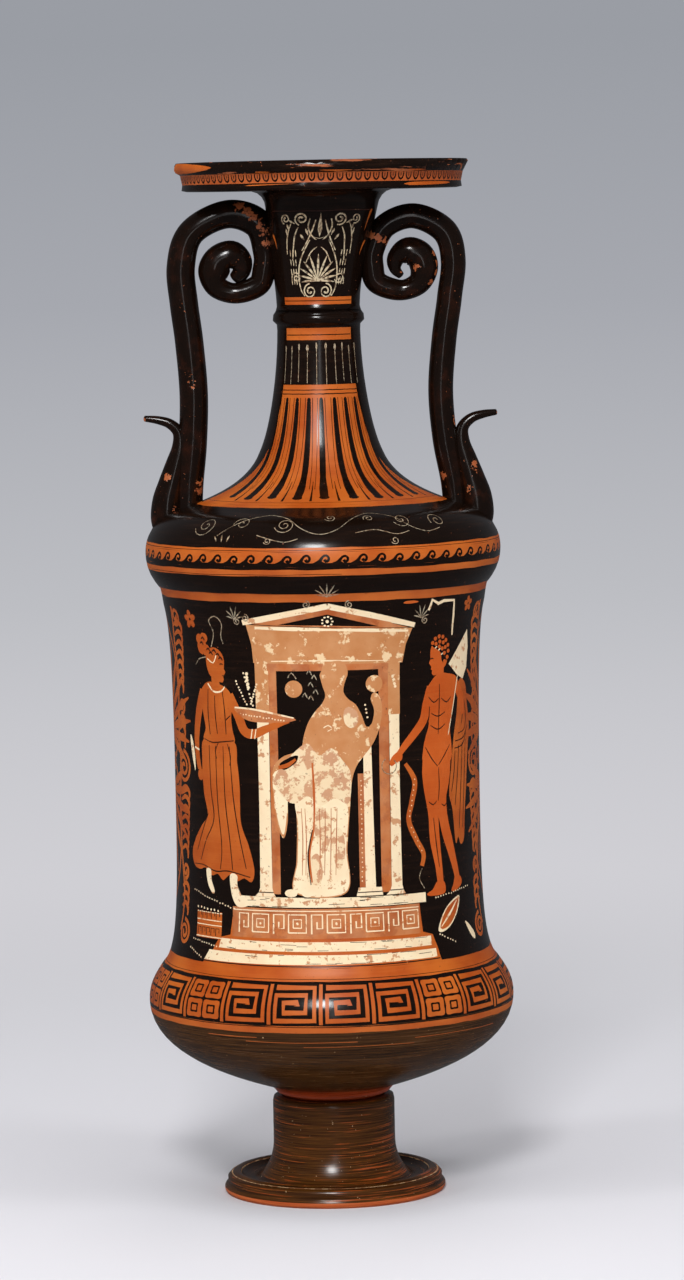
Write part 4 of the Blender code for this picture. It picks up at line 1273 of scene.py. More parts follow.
def youth():
    """A standing youth with a cloak over one arm and a ribbon, touched with added white."""
    shape("clay", ((135, 443), (146, 439), (150, 422), (154, 402), (150, 380), (147, 356), (143, 330),
                   (141, 309), (135, 304), (131, 311), (127, 306), (123, 334), (118.5, 349), (122, 372),
                   (126, 396), (131, 416)))
    for fold in (((139, 434), (146, 418), (145, 402), (133, 398)), ((137, 428), (141, 416), (139, 406)),
                 ((146, 392), (143, 360), (139, 318)), ((140, 390), (137, 356), (133, 318)),
                 ((134, 388), (131, 362), (127, 338)), ((128, 384), (126, 366), (122, 350)),
                 ((150, 404), (142, 394), (128, 392)), ((148, 398), (140, 388), (127, 386))):
        stroke("dilute", fold, (0.6, 0.9, 0.6))
    stroke("skin", ((111, 386), (110, 362), (107.5, 345), (112, 322), (120, 300), (126, 283), (128, 275)),
           (21, 19, 14, 11, 11, 8.5, 7))
    shape("skin", ((133, 277), (125, 279), (121, 271), (118, 266.8), (124, 265.6), (134, 271)))
    stroke("skin", ((97, 388), (96, 362), (98, 338), (99, 314), (103, 290), (105, 272)),
           (19, 20, 16, 11.5, 11.5, 8.5, 7))
    shape("skin", ((109.5, 275), (101, 276.5), (95, 270), (89, 267.4), (91, 265), (109, 265.6)))
    shape("skin", ((106, 451), (97, 445), (92, 437), (92.5, 422), (94, 409), (90, 398), (87.5, 388),
                   (88, 377), (105, 371), (121.5, 377), (122.5, 390), (120.5, 403), (123, 415),
                   (128, 430), (133, 440), (129, 447), (118, 450)))
    stroke("skin", ((97, 440), (92, 426), (88, 413), (79, 403), (69, 393), (62, 385)),
           (10, 9.5, 8.5, 7.6, 6.6, 5.0))
    shape("skin", ((65, 389), (58, 386), (54, 380), (56, 376.5), (60, 379), (66, 382)))
    stroke("skin", ((129, 441), (138, 428), (142, 414)), (9, 9, 8))
    shape("skin", ((104, 458), (103, 447), (112, 447), (112, 460)), False)
    shape("skin", ((114, 476), (117, 469), (116, 460), (112, 455), (106, 451), (100, 449.6), (97.6, 451.6),
                   (98, 454), (96.4, 455), (97, 457), (94.4, 460.4), (96, 464), (95.6, 470), (98, 476),
                   (105, 480)))
    shape("black", ((97, 475), (99, 481), (106, 483.5), (114, 481), (118, 474), (117.5, 465), (113, 459),
                    (109, 462), (108, 468), (103, 471.5)))
    for x, height in ((98, 477), (101, 480.4), (105.4, 482), (110, 481.4), (114, 478.4), (117, 474),
                      (117.6, 469), (116.4, 464), (113, 460.6), (102, 476), (106.4, 477.6),
                      (110.8, 476.6), (113.4, 472.4), (112.6, 467.6), (106, 473.4), (109.6, 471.6)):
        dab("skin", x, height, 1.9, 1.8, 8)
    for x, height in ((102, 473), (106, 471), (109.5, 467)):
        dab("cream", x, height, 1.5, 0.6, 8, 30)
    stroke("dilute", ((99.4, 463.6), (97.4, 464.2), (95.9, 463.2)), (0.6, 0.8, 0.5))
    for line in (((94, 432), (100, 427), (106, 430)), ((109, 430), (116, 426), (122, 430)),
                 ((107, 442), (106.5, 424), (105, 400)), ((96, 408), (105, 404), (114, 408)),
                 ((97, 418), (105, 415), (114, 418)), ((90, 390), (97, 380), (104, 373)),
                 ((120, 390), (112, 381), (105, 374)), ((105, 372), (105.5, 356), (104, 344)),
                 ((93, 344), (98, 341), (102, 344)), ((108, 341), (112, 339), (115, 342)),
                 ((98, 330), (101, 306), (104, 288)), ((90, 404), (94, 414), (95, 424))):
        stroke("dilute", line, (0.5, 0.8, 0.5))
    shape("cream", ((118.5, 458), (132, 471), (147, 485), (150, 470), (148, 453), (141, 443.5),
                    (131, 448)), False)
    stroke("cream", ((132, 447), (126, 424), (118, 398)), (1.1, 0.9), False)
    stroke("clay", ((69, 378), (78, 363), (75, 346), (71.5, 330), (79, 313), (86, 301), (84, 291)),
           (3.4, 5.0, 5.2, 4.6, 5.2, 5.0, 4.0))
    dots("cream", (78, 364), (72.5, 334), 8, 0.6)
    dots("cream", (74, 324), (84, 304), 6, 0.6)
    stroke("faint", ((84, 289), (81, 281), (86, 272)), (0.8,))
    scroll("faint", 54.0, 377.0, 7.0, 6.4, 120.0, 0.8, (0.8, 0.8))
    stroke("cream", ((91, 505), (94, 513.6), (101, 510), (107, 512), (120, 511.6), (122, 499), (122, 482)),
           (2.4, 2.8, 2.2, 2.6, 1.8), False)


def small_things():
    """Rosettes, a chest, a pod and rows of dabs that stand for uneven ground."""
    rosette(-129.0, 499.0, 7.6)
    rosette(143.0, 507.0, 6.4)
    box("clay", -132.0, 231.0, -99.0, 253.5)
    for height in (252.6, 246.0, 242.0, 232.0):
        stroke("cream", ((-132, height), (-99, height)), (0.8,), False)
    for low in (233.5, 247.2):
        for x in range(-130, -101, 6):
            stroke("dilute", ((x, low), (x, low + 6), (x + 4, low + 6), (x + 4, low + 2.4)), (0.7,), False)
    dots("cream", (-131, 256.4), (-104, 254.6), 7, 1.0)
    for start, end, count in (((-137, 270), (-86, 258), 17), ((-136, 229), (-104, 225), 11),
                              ((98, 263), (144, 268), 15), ((100, 232), (118, 224), 7),
                              ((-140, 221), (-122, 214.6), 7)):
        dots("cream", start, end, count, 0.75)
    pod = ((99, 235), (104, 246), (114, 256), (129, 261.5), (126, 250), (116, 239), (106, 234))
    shape("cream", pod)
    shape("clay", [(114.5 + 0.84 * (x - 114.5), 247.5 + 0.84 * (z - 247.5)) for x, z in pod])
    stroke("cream", ((103, 238), (114, 247.5), (125, 258)), (0.8, 2.2, 0.7))
    shape("cream", ((150, 222), (144, 226), (139, 233), (136, 239), (143, 235), (151, 227)))
    dots("cream", (58, 452), (60, 443), 4, 1.4)
    dots("cream", (-68, 456), (-67, 444), 5, 1.6)
    shape("skin", ((66, 512.4), (72, 511.8), (80, 512.8), (76, 514.2), (68, 514.0)))


shrine()
draped_figure()
woman(-99.0, 1.0)
youth()
small_things()


# Picture on the back, plainer: a white grave pillar on two steps, tied with a ribbon, between two
# women drawn as on the front.
BACK_HALF = math.pi * BARREL_RADIUS
BACK_ASIDE = 92.0


def back_picture():
    """Draws the back on both ends of the sheet, since it straddles the seam."""
    for middle in (BACK_HALF, -BACK_HALF):
        for wide, low, high in ((62, 213, 222), (48, 224, 234)):
            box("cream", middle - wide, low, middle + wide, high)
        box("tan", middle - 17.0, 235.0, middle + 17.0, 420.0)
        box("cream", middle - 22.0, 420.0, middle + 22.0, 429.0)
        shape("cream", ((middle - 22, 430), (middle, 446), (middle + 22, 430)), False)
        stroke("clay", ((middle - 17, 352), (middle, 346), (middle + 17, 352)), (4.0, 5.0, 4.0))
        for end in (((-6, 346), (-9, 330), (-5, 316)), ((6, 346), (9, 332), (6, 314))):
            stroke("clay", [(middle + x, height) for x, height in end], (3.0, 3.6, 2.6))


back_picture()
woman(BACK_HALF - BACK_ASIDE, 1.0, False)
woman(-BACK_HALF + BACK_ASIDE, -1.0, False)
for middle in (BACK_HALF - BACK_ASIDE, BACK_ASIDE - BACK_HALF):
    dots("cream", (middle - 34.0, 257.5), (middle + 34.0, 257.5), 17, 0.8)
sheets.append(painted_sheet("barrel", 360.0, meander_high, way(BARREL_TOP), BARREL_RADIUS, "black",
                            barrel, (MEANDER_STEPS, BARREL_STEPS), row=7.0))


# Running wave: curling waves in black over reserved clay, on the crease above the barrel.
WAVE_COUNT = 60
WAVE_RADIUS = 150.0
WAVE_TOP = 558.0
wave_low, wave_high = way(BARREL_TOP), way(WAVE_TOP)
tile_steps = BARREL_STEPS // WAVE_COUNT
tiles = []
for size in (1.0, 0.92):
    crest = [(x - 8.0, wave_low + size * y) for x, y in
             ((-1.0, 0.6), (3.0, 2.2), (6.0, 5.2), (8.2, 8.4), (11.0, 9.4), (13.0, 7.6),
              (12.6, 5.2), (10.6, 4.5), (9.6, 6.2))]
    swell = [(x - 8.0, wave_low + y) for x, y in
             ((-0.2, -0.5), (16.2, -0.5), (16.2, 3.2), (13.0, 3.1), (9.5, 3.3), (6.5, 5.0), (3.0, 4.4),
              (-0.2, 3.4))]
    shapes = [("black", swell), ("black", brush(crest, (4.2, 4.6, 3.0, 2.1, 1.9, 2.4, 2.7)))]
    tiles.append(painted_sheet("wave", 360.0 / WAVE_COUNT, wave_low, wave_high, WAVE_RADIUS, "clay",
                               shapes, (tile_steps, tile_steps), row=4.0))
sheets.append(frieze("running wave", WAVE_COUNT, tiles[0], tiles[1], 3))


# Shoulder: black with a worn tendril in added white, which runs in long curls round the front.
SHOULDER_RING = 145.0
SHOULDER_EDGE = 594.0
TENDRIL_WIDTH = 0.6
shoulder = [level(WAVE_TOP, 561.6, "clay"), uneven("black", 559.6, 0.5, SHOULDER_RING, 0.2),
            level(592.2, SHOULDER_EDGE, "clay")]


def round_spot(turn, height, radius):
    """A place on a sheet of the given radius, from its angle round the axis and its height."""
    return math.radians(turn) * radius, way(height)


def round_spots(points, radius):
    return [round_spot(turn, height, radius) for turn, height in points]


def patch(paint, middle, wide, low, high, radius):
    """A level band between two heights, reaching the same angle to both sides of its middle."""
    return paint, round_spots(((middle - wide, low), (middle + wide, low), (middle + wide, high),
                               (middle - wide, high)), radius)


for mirror in (0.0, 180.0):
    for turn, height, size, twist in ((-44, 579, 11.5, 1.8), (-29, 581, 8.5, -1.5), (-13, 580, 9.0, 1.9),
                                      (3, 585, 5.5, 1.4), (17, 584, 5.0, -1.4), (29, 582, 9.0, 1.6),
                                      (44, 580, 9.0, -1.6), (-18, 567.5, 3.2, 1.3), (24, 566, 3.6, 1.2)):
        x, y = round_spot(turn + mirror if turn + mirror < 180.0 else turn + mirror - 360.0, height,
                          SHOULDER_RING)
        shoulder.append(("faint", curl(x, y, size, 1.0, 200.0, twist, (0.7, 0.6, 0.6, 0.9))))
    if mirror:
        continue
    for line in (((-37, 571), (-33, 578), (-27, 584.5), (-20, 587), (-13, 585), (-7, 577), (-1, 572.5),
                  (5, 576), (11, 584), (18, 587.5), (26, 585), (31, 577), (37, 572), (43, 574)),
                 ((-22, 572), (-16, 568), (-12, 566.5), (-8, 569)),
                 ((11, 573), (18, 575), (25, 571), (30, 573))):
        shoulder.append(("faint", brush(round_spots(line, SHOULDER_RING),
                                        (TENDRIL_WIDTH, 1.3 * TENDRIL_WIDTH, 0.8 * TENDRIL_WIDTH,
                                         TENDRIL_WIDTH), spacing=2.2)))
    for turn in (-36.5, -34.5, -32.5):
        x, y = round_spot(turn, 566.5, SHOULDER_RING)
        shoulder.append(("faint", leaf(x, y, 100 - 24 * (turn + 34.5) / 2.0, 6.0, 1.4)))
sheets.append(painted_sheet("shoulder", 360.0, wave_high, way(SHOULDER_EDGE), SHOULDER_RING, "black",
                            shoulder, (BARREL_STEPS, SHOULDER_STEPS), row=7.0))


# Tongues: from a banded collar, long tongues of reserved clay widen over the flare between black
# strokes; under the handles the ground is plain black.
FLARE_RING = 80.0
TONGUE_PITCH = 15.0
FLARE_TOP = 692.0
FLARE_LOW_TURN = 80.0
FLARE_TOP_TURN = 52.0
TONGUE_START = 600.0
TONGUE_WIDTHS = (6.4, 7.6, 6.2, 7.4, 7.8, 7.6, 7.4, 6.4)
flare = []
for middle in (0.0, 180.0, -180.0):
    edge = ((82, 594.0), (79, 600.0), (72, 612.0), (60, 640.0), (53, 680.0), (52, FLARE_TOP))
    outline = [(middle - wide, height) for wide, height in edge]
    outline += [(middle + wide, height) for wide, height in edge[::-1]]
    flare.append(("clay", round_spots(outline, FLARE_RING)))
    for number in range(-4, 5):
        turn = middle + (number + 0.12) * TONGUE_PITCH + rng.uniform(-0.8, 0.8)
        foot_height = 599.5 + rng.uniform(-0.8, 0.8)
        spots = round_spots(((turn, foot_height), (turn + rng.uniform(-0.4, 0.4), 612.0), (turn, 640.0),
                             (turn, 679.0 + rng.uniform(-2.0, 1.0))), FLARE_RING)
        flare.append(("black", brush(spots, TONGUE_WIDTHS, spacing=5.0)))
        for place, wide, tall in ((foot_height, 4.0, 3.2), (679.0, 3.1, 2.4)):
            x, y = round_spot(turn, place, FLARE_RING)
            flare.append(("black", oval(x, y, wide, tall, 10)))
        for aside in (0.40, -0.40):
            spots = [round_spot(turn + aside * TONGUE_PITCH * share, height, FLARE_RING)
                     for share, height in ((0.94, 606.0), (0.90, 625.0), (0.80, 650.0), (0.72, 681.0))]
            flare.append(("black", brush(spots, (0.55, 0.55, 0.9, 1.1), spacing=5.0)))
        between = turn + 0.5 * TONGUE_PITCH
        spots = round_spots(((between, 597.0), (between, 612.0)), FLARE_RING)
        flare.append(("black", brush(spots, (1.9, 1.0, 0.5), bend=False)))
    for height, thick in ((687.6, 0.8), (684.2, 0.9), (596.0, 0.5)):
        wide = FLARE_TOP_TURN if height > TONGUE_START else FLARE_LOW_TURN
        low_turn, high_turn = max(middle - wide, -180.0), min(middle + wide, 180.0)
        if high_turn > low_turn:
            flare.append(uneven("black", height, thick, FLARE_RING, 0.15, low_turn, high_turn, 4.0))
sheets.append(painted_sheet("flare", 360.0, way(SHOULDER_EDGE), way(FLARE_TOP), FLARE_RING, "black",
                            flare, (SHOULDER_STEPS, NECK_STEPS), row=5.0))


# Neck: plain black over reserved stripes, with drip-like rays hanging from the ring moulding, and
# a florid palmette with scrolls in added white on the bell, now rubbed thin.
NECK_RING = 38.0
BELL_RING = 40.0
NECK_TOP = 757.5
BELL_TOP = 861.3
LOWEST_RAY = 692.3
neck = []
for middle in (0.0, 180.0, -180.0):
    neck.append(patch("clay", middle, 50.0, 729.5, 739.6, NECK_RING))
    neck.append(patch("black", middle, 49.0, 733.4, 734.2, NECK_RING))
    for number in range(-4, 6):
        turn = middle + number * 12.0 - 3.0 + rng.uniform(-1.5, 1.5)
        low = rng.uniform(690.5, 696.0)
        if low < FLARE_TOP:
            low = LOWEST_RAY
        top = 722.0 + rng.uniform(-1.0, 3.0)
        neck.append(("faint", brush(round_spots(((turn, low), (turn, 706.0), (turn, top)), NECK_RING),
                                    (0.5, 0.6, 0.5, 0.7), spacing=4.0)))
        x, y = round_spot(turn, top, NECK_RING)
        neck.append(("faint", oval(x, y, rng.uniform(0.7, 1.4), 3.0, 8)))
sheets.append(painted_sheet("neck", 360.0, way(FLARE_TOP), way(NECK_TOP), NECK_RING, "black", neck,
                            (NECK_STEPS, NECK_STEPS), row=5.0))


def sprig(side, points, widths):
    """A brush stroke of the bell's florals, mirrored by side, in millimetres about its palmette."""
    return brush([(side * x, y) for x, y in points], widths)


PALMETTE_BASE = 778.0
TWIGS = ((((1.5, 30.0), (6.0, 26.0), (11.0, 16.0)), (0.7, 1.1, 0.6)),
         (((2.4, 36.0), (6.4, 40.0), (9.0, 47.0), (8.0, 54.0)), (0.7, 1.2, 0.9)),
         (((22.0, 52.0), (25.0, 46.0), (27.5, 36.0), (28.0, 24.0)), (0.7, 1.1, 0.7)))
SCROLLS = ((7.2, -7.4, 6.4, 1.0, 90.0, -1.7, (1.2, 1.2, 1.0, 1.6)),
           (14.5, 54.0, 5.6, 1.0, 250.0, 1.6, (1.0, 1.4, 1.2, 1.6)),
           (28.0, 54.0, 4.4, 0.8, 250.0, 1.5, (0.9, 1.2, 1.0, 1.4)))
bell = []
for middle in (0.0, 180.0, -180.0):
    bell.append(patch("clay", middle, 52.0, 759.3, 765.6, BELL_RING))
    bell.append(patch("black", middle, 51.0, 762.1, 762.8, BELL_RING))
drawn = fan(0.0, 1.0, 11, 84.0, 23.0, 1.9)
drawn += [curl(side * 20.0, 4.0, 5.0, 0.8, 200.0, side * 1.5, (0.8, 1.1, 1.3)) for side in (-1, 1)]
drawn += [sprig(side, points, widths) for side in (-1, 1) for points, widths in TWIGS]
for side in (-1, 1):
    drawn.append(sprig(side, ((12.5, -11.5), (16.0, -6.0), (17.5, 5.0), (16.0, 17.0), (11.5, 28.0),
                              (7.5, 36.0)), (1.0, 1.3, 1.1, 0.8)))
    drawn += [curl(side * x, y, outer, inner, start, side * turns, widths)
              for x, y, outer, inner, start, turns, widths in SCROLLS]
    drawn.append(sprig(side, ((3.5, 53.0), (6.0, 44.0), (10.0, 34.0), (14.0, 27.0)), (0.8, 1.2, 1.1, 0.8)))
    drawn.append(sprig(side, ((17.0, 47.0), (20.0, 40.0), (21.5, 30.0), (23.0, 18.0)), (0.8, 1.2, 1.0, 0.8)))
    drawn += [sprig(side, ((x, y), (x + 0.4, y + 5.5)), (0.5, 1.0, 0.6))
              for x in (19.5, 22.0, 24.5) for y in (-2.0, 6.0, 14.0, 22.0)]
    drawn += [leaf(side * x, y, 90.0 - side * tilt, 6.0, 1.7) for x, y, tilt in
              ((9.0, 40.0, 20.0), (12.0, 36.0, 35.0), (20.0, 50.0, 60.0), (25.0, 44.0, 20.0),
               (27.0, 40.0, 10.0))]
drawn.append([(0.0, 38.5), (1.7, 45.0), (1.3, 50.0), (0.0, 59.0), (-1.3, 50.0), (-1.7, 45.0)])
drawn += [oval(0.9 * x, 37.2 + 0.2 * abs(x), 0.34, 0.34, 6) for x in range(-6, 7)]
bell += [("worn_white", [(x, way(PALMETTE_BASE) + y) for x, y in polygon]) for polygon in drawn]
for start, end, low, high in ((38.0, 62.0, 857.6, 860.4), (-30.0, -12.0, 859.2, 860.4)):
    edge = ((start, low), (end, low + 1.0), (end, high), (start, high - 0.4))
    bell.append(("clay", smooth(round_spots(edge, BELL_RING), closed=True)))
for side, low, high in ((-1, 806.0, 818.0), (1, 800.0, 812.0), (1, 820.0, 838.0)):
    middle = (low + high) / 2.0
    edge = [(side * turn, height) for turn, height in
            ((58.0, low), (61.0, middle), (66.0, high), (62.0, high), (59.0, middle))]
    bell.append(("clay", smooth(round_spots(edge, BELL_RING), closed=True)))
bell.append(uneven("dilute", 838.0, 0.9, BELL_RING, 0.3, -60.0, 60.0, 6.0))
sheets.append(painted_sheet("bell", 360.0, way(NECK_TOP), way(BELL_TOP), BELL_RING, "black", bell,
                            (NECK_STEPS, SHOULDER_STEPS), row=5.0))


# Mouth: eggs in dark outline on a clay band, alternately darker and thinner; above them the
# glossy lip, with its slip worn through in level streaks, and the dish inside.
EGG_COUNT = 96
EGG_RADIUS = 118.5
EGGS_TOP = 869.3
egg_low, egg_high = way(BELL_TOP), way(EGGS_TOP)
tiles = []
for paint in ("dilute", "black"):
    cup = [(x * 2.35, egg_high - 0.4 - y) for x, y in
           ((-1.0, 0.0), (-1.0, 3.0), (-0.72, 5.0), (0.0, 6.3), (0.72, 5.0), (1.0, 3.0), (1.0, 0.0))]
    shapes = [(paint, brush(cup, (0.8, 1.3, 1.8, 1.3, 0.8))),
              ("dilute", oval(0.0, egg_high - 2.8, 0.45, 2.0, 8))]
    tiles.append(painted_sheet("egg", 360.0 / EGG_COUNT, egg_low, egg_high, EGG_RADIUS, "egg_clay",
                               shapes, (2, 2), row=4.0))
sheets.append(frieze("eggs", EGG_COUNT, tiles[0], tiles[1], 2))
top = [("edge", block(-EVERYWHERE, egg_high, EVERYWHERE, egg_high + 27.0)),
       ("lip", block(-EVERYWHERE, egg_high, EVERYWHERE, egg_high + 14.0))]
for start, end, low, high in ((-82.0, -47.0, 874.2, 882.0), (-26.0, -20.0, 871.6, 873.4),
                              (0.0, 12.0, 873.2, 874.0), (36.0, 45.0, 872.4, 873.6)):
    edge = [(start, low + 0.4), ((start + end) / 2.0, low - 0.8), (end, (low + high) / 2.0),
            ((start + end) / 2.0, high), (start, high)]
    top.append(("clay", smooth([(math.radians(turn) * MOUTH_RADIUS / MM, egg_high + (height - EGGS_TOP))
                                for turn, height in edge], closed=True)))
sheets.append(painted_sheet("lip and inside", 360.0, egg_high, travel[-1] / MM, MOUTH_RADIUS / MM,
                            "lining", top, (SHOULDER_STEPS, UNDER_STEPS), row=12.0))


# Wrapping: the flat sheets are laid round the turned outline; their edges meet in plain stripes
# and are welded, so that the vase is one closed skin.
WELD_WITHIN = 2e-5


def wrap_tree():
    """Lays flat sheets round an outline, welds their edges and gives every face its paint."""
    tree, given = new_tree("wrap round the vase", {"Sheets": "Geometry", "Outline": "Object",
                                                   "Unevenness": "Float"}, "Skin")
    line = add(tree, "GeometryNodeObjectInfo", {"Object": given["Outline"]}).outputs["Geometry"]
    place = add(tree, "ShaderNodeSeparateXYZ",
                {"Vector": add(tree, "GeometryNodeInputPosition").outputs[0]}).outputs
    found = add(tree, "GeometryNodeSampleCurve", {"Curves": line, "Length": place["Y"]},
                mode="LENGTH").outputs
    spot = add(tree, "ShaderNodeSeparateXYZ", {"Vector": found["Position"]}).outputs
    slope = add(tree, "ShaderNodeSeparateXYZ", {"Vector": found["Tangent"]}).outputs
    sine = maths(tree, "SINE", place["X"])
    cosine = maths(tree, "MULTIPLY", maths(tree, "COSINE", place["X"]), -1.0)
    away = maths(tree, "MULTIPLY", slope["X"], -1.0)
    ring = add(tree, "ShaderNodeCombineXYZ", {"X": sine, "Y": cosine, "Z": spot["Z"]}).outputs[0]
    wavy = add(tree, "ShaderNodeTexNoise", {"Vector": ring, "Scale": 5.0, "Detail": 1.0})
    swell = maths(tree, "MULTIPLY", maths(tree, "SUBTRACT", wavy.outputs["Fac"], 0.5),
                  given["Unevenness"])
    reach = maths(tree, "MULTIPLY", spot["X"], maths(tree, "ADD", swell, 1.0))
    turned = add(tree, "ShaderNodeCombineXYZ", {
        "X": maths(tree, "MULTIPLY", sine, reach), "Y": maths(tree, "MULTIPLY", cosine, reach),
        "Z": spot["Z"]}).outputs[0]
    facing = add(tree, "ShaderNodeCombineXYZ", {
        "X": maths(tree, "MULTIPLY", sine, slope["Z"]),
        "Y": maths(tree, "MULTIPLY", cosine, slope["Z"]), "Z": away}).outputs[0]
    kept = add(tree, "GeometryNodeStoreNamedAttribute", {
        "Geometry": given["Sheets"], "Name": "facing", "Value": facing},
        data_type="FLOAT_VECTOR", domain="POINT").outputs[0]
    laid = add(tree, "GeometryNodeSetPosition", {"Geometry": kept, "Position": turned}).outputs[0]
    made = add(tree, "GeometryNodeMergeByDistance", {"Geometry": laid, "Distance": WELD_WITHIN}).outputs[0]
    painted = add(tree, "GeometryNodeInputNamedAttribute", {"Name": "paint"}, data_type="INT")
    for number, name in enumerate(PAINT_NAMES):
        same = equal(tree, painted.outputs["Attribute"], number)
        made = add(tree, "GeometryNodeSetMaterial", {
            "Geometry": made, "Selection": same, "Material": PAINTS[name]}).outputs[0]
    whole = add(tree, "GeometryNodeRealizeInstances", {"Geometry": made}).outputs[0]
    add(tree, "NodeGroupOutput", {"Skin": whole})
    return tree


def joined(name, meshes):
    """One mesh made of several; their vertices, faces, paint and materials are kept."""
    pile = bmesh.new()
    slots = []
    for mesh in meshes:
        places = [slots.index(m) if m in slots else slots.append(m) or len(slots) - 1
                  for m in mesh.materials]
        first = len(pile.faces)
        pile.from_mesh(mesh)
        pile.faces.ensure_lookup_table()
        for face in pile.faces[first:]:
            face.material_index = places[face.material_index] if places else 0
    made = bpy.data.meshes.new(name)
    pile.to_mesh(made)
    pile.free()
    for slot in slots:
        made.materials.append(slot)
    return made


def wrapped(name, sheet_meshes, line, unevenness):
    """The closed skin of sheets wrapped round an outline, its normals taken from the outline."""
    curve = drawn_curve(name + " outline", [(radius, height, 1.0) for radius, height in line])
    guide = bpy.data.objects.new(name + " outline", curve)
    bpy.context.scene.collection.objects.link(guide)
    flat = joined(name + " sheets", sheet_meshes)
    made = with_nodes(flat, name, WRAP, {"Outline": guide, "Unevenness": unevenness})
    bpy.data.objects.remove(guide)
    facing = np.zeros(len(made.vertices) * 3, np.float32)
    made.attributes["facing"].data.foreach_get("vector", facing)
    made.shade_smooth()
    made.normals_split_custom_set_from_vertices(facing.reshape(-1, 3).tolist())
    made.attributes.remove(made.attributes["facing"])
    made.attributes.remove(made.attributes["paint"])
    made.attributes.new("bare", "FLOAT", "POINT")
    return made


UNEVENNESS = 0.004
LEAN = 0.0048
LEAN_FOOT = 0.765
LEAN_TOP = 0.855
LEAN_SPREAD = 0.12


def lean(mesh):
    """The mouth was set on a little askew: it sits nearer to the right handle than to the left."""
    spots = vertex_places(mesh)
    rise = np.clip((spots[:, 2] - LEAN_FOOT) / (LEAN_TOP - LEAN_FOOT), 0.0, 1.0)
    side = np.clip(0.5 + spots[:, 0] / LEAN_SPREAD, 0.0, 1.0)
    rise = rise * rise * (3.0 - 2.0 * rise)
    spots[:, 0] += LEAN * rise * (rise + (1.0 - rise) * side)
    mesh.vertices.foreach_set("co", spots.ravel())
    mesh.update()


WRAP = wrap_tree()
skin = wrapped("vessel skin", sheets, vessel_line, UNEVENNESS)
vessel_piece = bpy.data.objects.new("vessel_clay_body", joined("vessel clay body", [skin] + strips))
lean(vessel_piece.data)
bpy.context.scene.collection.objects.link(vessel_piece)
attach(vessel_piece, "root")
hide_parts("vessel")


# Foot: thrown separately as a hollow stem on a ringed disc and set under the vase with slip.
# Its slip is thin and brown, brushed on in level strokes; the trough is darker and glossier, and
# the outermost edge at the floor is bare clay.
FOOT_RADIUS = 0.0949
FOOT_WALL = 0.0095
FOOT_STAND_WIDTH = 0.0130
FOOT_BASE_BEVEL = 0.0017
FOOT_BAND_HEIGHT = 0.0080
FOOT_RING_HEIGHT = 0.0082
FOOT_RING_INSET = 0.0026
FOOT_BEAD_INSET = 0.0050
FOOT_BEAD_WIDTH = 0.0070
FOOT_BEAD_RISE = 0.0018
FOOT_RING_BULGE = 0.0033
FOOT_RING_UNDERCUT = 0.0008
FOOT_BAND_BULGE = 0.0036
TROUGH_WIDTH = 0.0130
TROUGH_DEPTH = 0.0072
STEM_RADIUS = 0.0522
STEM_FLARE_HEIGHT = 0.0330
COLLAR_ROUNDING = 0.0042
HOLLOW_EDGE_RISE = 0.0027
FOOT_RING = 90.0
FOOT_STEPS = 140
FOOT_UNEVENNESS = 0.003
COLLAR_BORE = STEM_RADIUS - FOOT_WALL
FOOT_HEIGHT = foot_high.z
RING_TOP = FOOT_BAND_HEIGHT + FOOT_RING_HEIGHT
TROUGH_LEVEL = RING_TOP - TROUGH_DEPTH + FOOT_BEAD_RISE
STEM_LEVEL = TROUGH_LEVEL + STEM_FLARE_HEIGHT


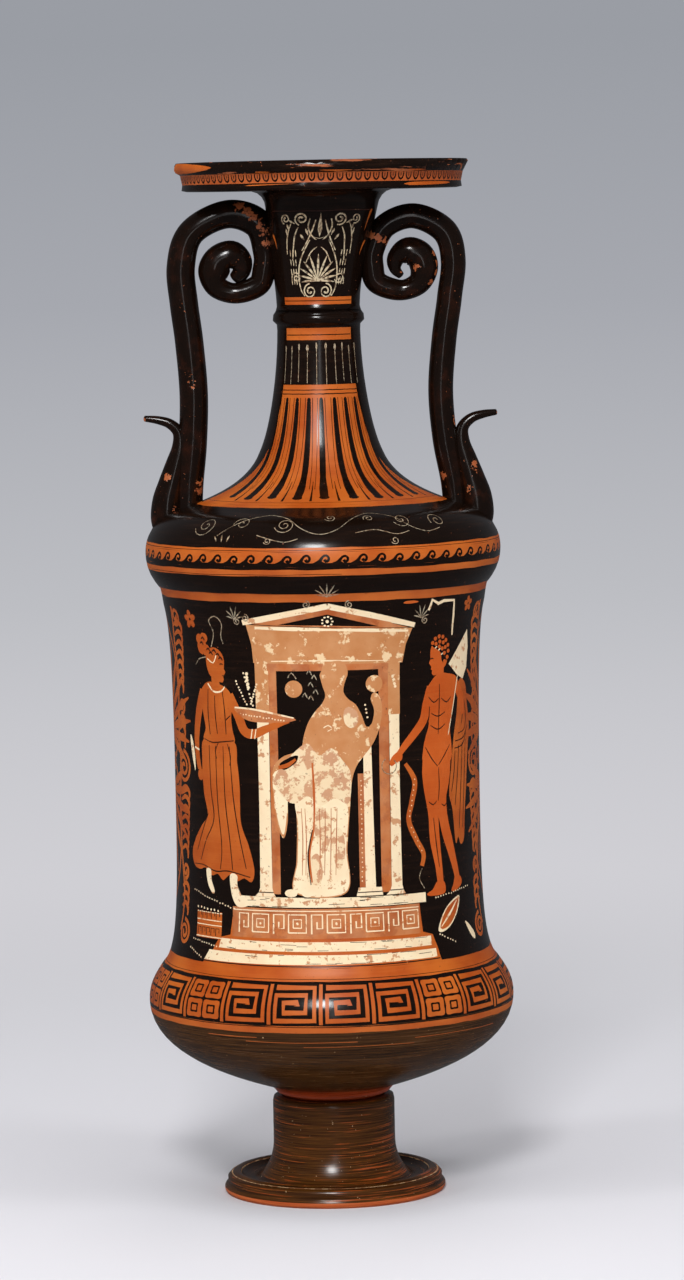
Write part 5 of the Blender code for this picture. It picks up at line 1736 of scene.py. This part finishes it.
def foot_outline():
    """The foot's section from its collar's inner edge down its outside, and up the hollow."""
    ring = FOOT_RADIUS - FOOT_RING_INSET
    bead = ring - FOOT_BEAD_INSET
    bead_inner = bead - FOOT_BEAD_WIDTH
    stand = FOOT_RADIUS - FOOT_BASE_BEVEL - FOOT_STAND_WIDTH
    stem_top = FOOT_HEIGHT - COLLAR_ROUNDING
    line = Outline(COLLAR_BORE, FOOT_HEIGHT)
    line.to(STEM_RADIUS - COLLAR_ROUNDING, FOOT_HEIGHT)
    line.bend(STEM_RADIUS, stem_top, (0.55, 0.0), (0.0, 0.55), 8)
    line.to(STEM_RADIUS, STEM_LEVEL)
    line.bend(bead_inner - TROUGH_WIDTH, TROUGH_LEVEL, (0.0, 0.5), (0.5, 0.2), 14)
    line.bend(bead_inner, RING_TOP, (0.6, 0.0), (0.1, 0.5), 10)
    line.bend((bead_inner + bead) / 2.0, RING_TOP + FOOT_BEAD_RISE, (0.1, 0.6), (0.6, 0.0), 5)
    line.bend(bead, RING_TOP, (0.6, 0.0), (0.1, 0.6), 5)
    line.bend(ring, FOOT_BAND_HEIGHT + FOOT_RING_BULGE, (0.6, 0.0), (0.0, 0.5), 8)
    line.bend(ring - FOOT_RING_UNDERCUT, FOOT_BAND_HEIGHT, (0.0, 0.6), (0.2, 0.4), 5)
    line.bend(FOOT_RADIUS, FOOT_BAND_BULGE, (0.6, 0.1), (0.0, 0.5), 6)
    line.bend(FOOT_RADIUS - FOOT_BASE_BEVEL, 0.0, (0.0, 0.5), (0.5, 0.0), 6)
    line.to(stand, 0.0)
    line.to(stand - HOLLOW_EDGE_RISE, HOLLOW_EDGE_RISE)
    line.bend(COLLAR_BORE, STEM_LEVEL, (0.62, 0.0), (0.0, 0.6), 14)
    return line.points


foot_line = foot_outline()[::-1]
foot_line.append(foot_line[0])
foot_travel = [0.0]
for here, there in zip(foot_line, foot_line[1:]):
    foot_travel.append(foot_travel[-1] + math.dist(here, there))


def foot_way(radius, height):
    """Millimetres along the foot's section to its point nearest a radius and a height."""
    near = min(range(len(foot_line) - 1), key=lambda i: math.dist(foot_line[i], (radius, height)))
    return foot_travel[near] / MM


bead_top = FOOT_RADIUS - FOOT_RING_INSET - FOOT_BEAD_INSET - FOOT_BEAD_WIDTH / 2.0
edge_low = foot_way(FOOT_RADIUS - 0.003, 0.0)
edge_high = foot_way(FOOT_RADIUS, 0.0046)
trough_out = foot_way(bead_top - 0.004, RING_TOP)
trough_in = foot_way(bead_top - 0.019, TROUGH_LEVEL + 0.004)
groove = foot_way(bead_top + 0.0042, RING_TOP)
total = foot_travel[-1] / MM
foot_hollow = foot_way(COLLAR_BORE, STEM_LEVEL)
marks = [(paint, block(-EVERYWHERE, low, EVERYWHERE, high)) for paint, low, high in
         (("foot_bare", edge_low, edge_high), ("foot_dark", trough_out, trough_in),
          ("foot_worn", groove - 0.5, groove + 0.5), ("foot_worn", trough_out - 0.9, trough_out),
          ("lining", 0.0, foot_hollow), ("lining", total - 40.0, total))]
foot_sheet = painted_sheet("foot sheet", 360.0, 0.0, total, FOOT_RING, "foot", marks,
                           (FOOT_STEPS, FOOT_STEPS), row=4.0)
foot_skin = wrapped("foot clay stem", [foot_sheet], foot_line, FOOT_UNEVENNESS)
foot_piece = bpy.data.objects.new("foot_clay_stem", foot_skin)
bpy.context.scene.collection.objects.link(foot_piece)
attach(foot_piece, "root")
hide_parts("foot")
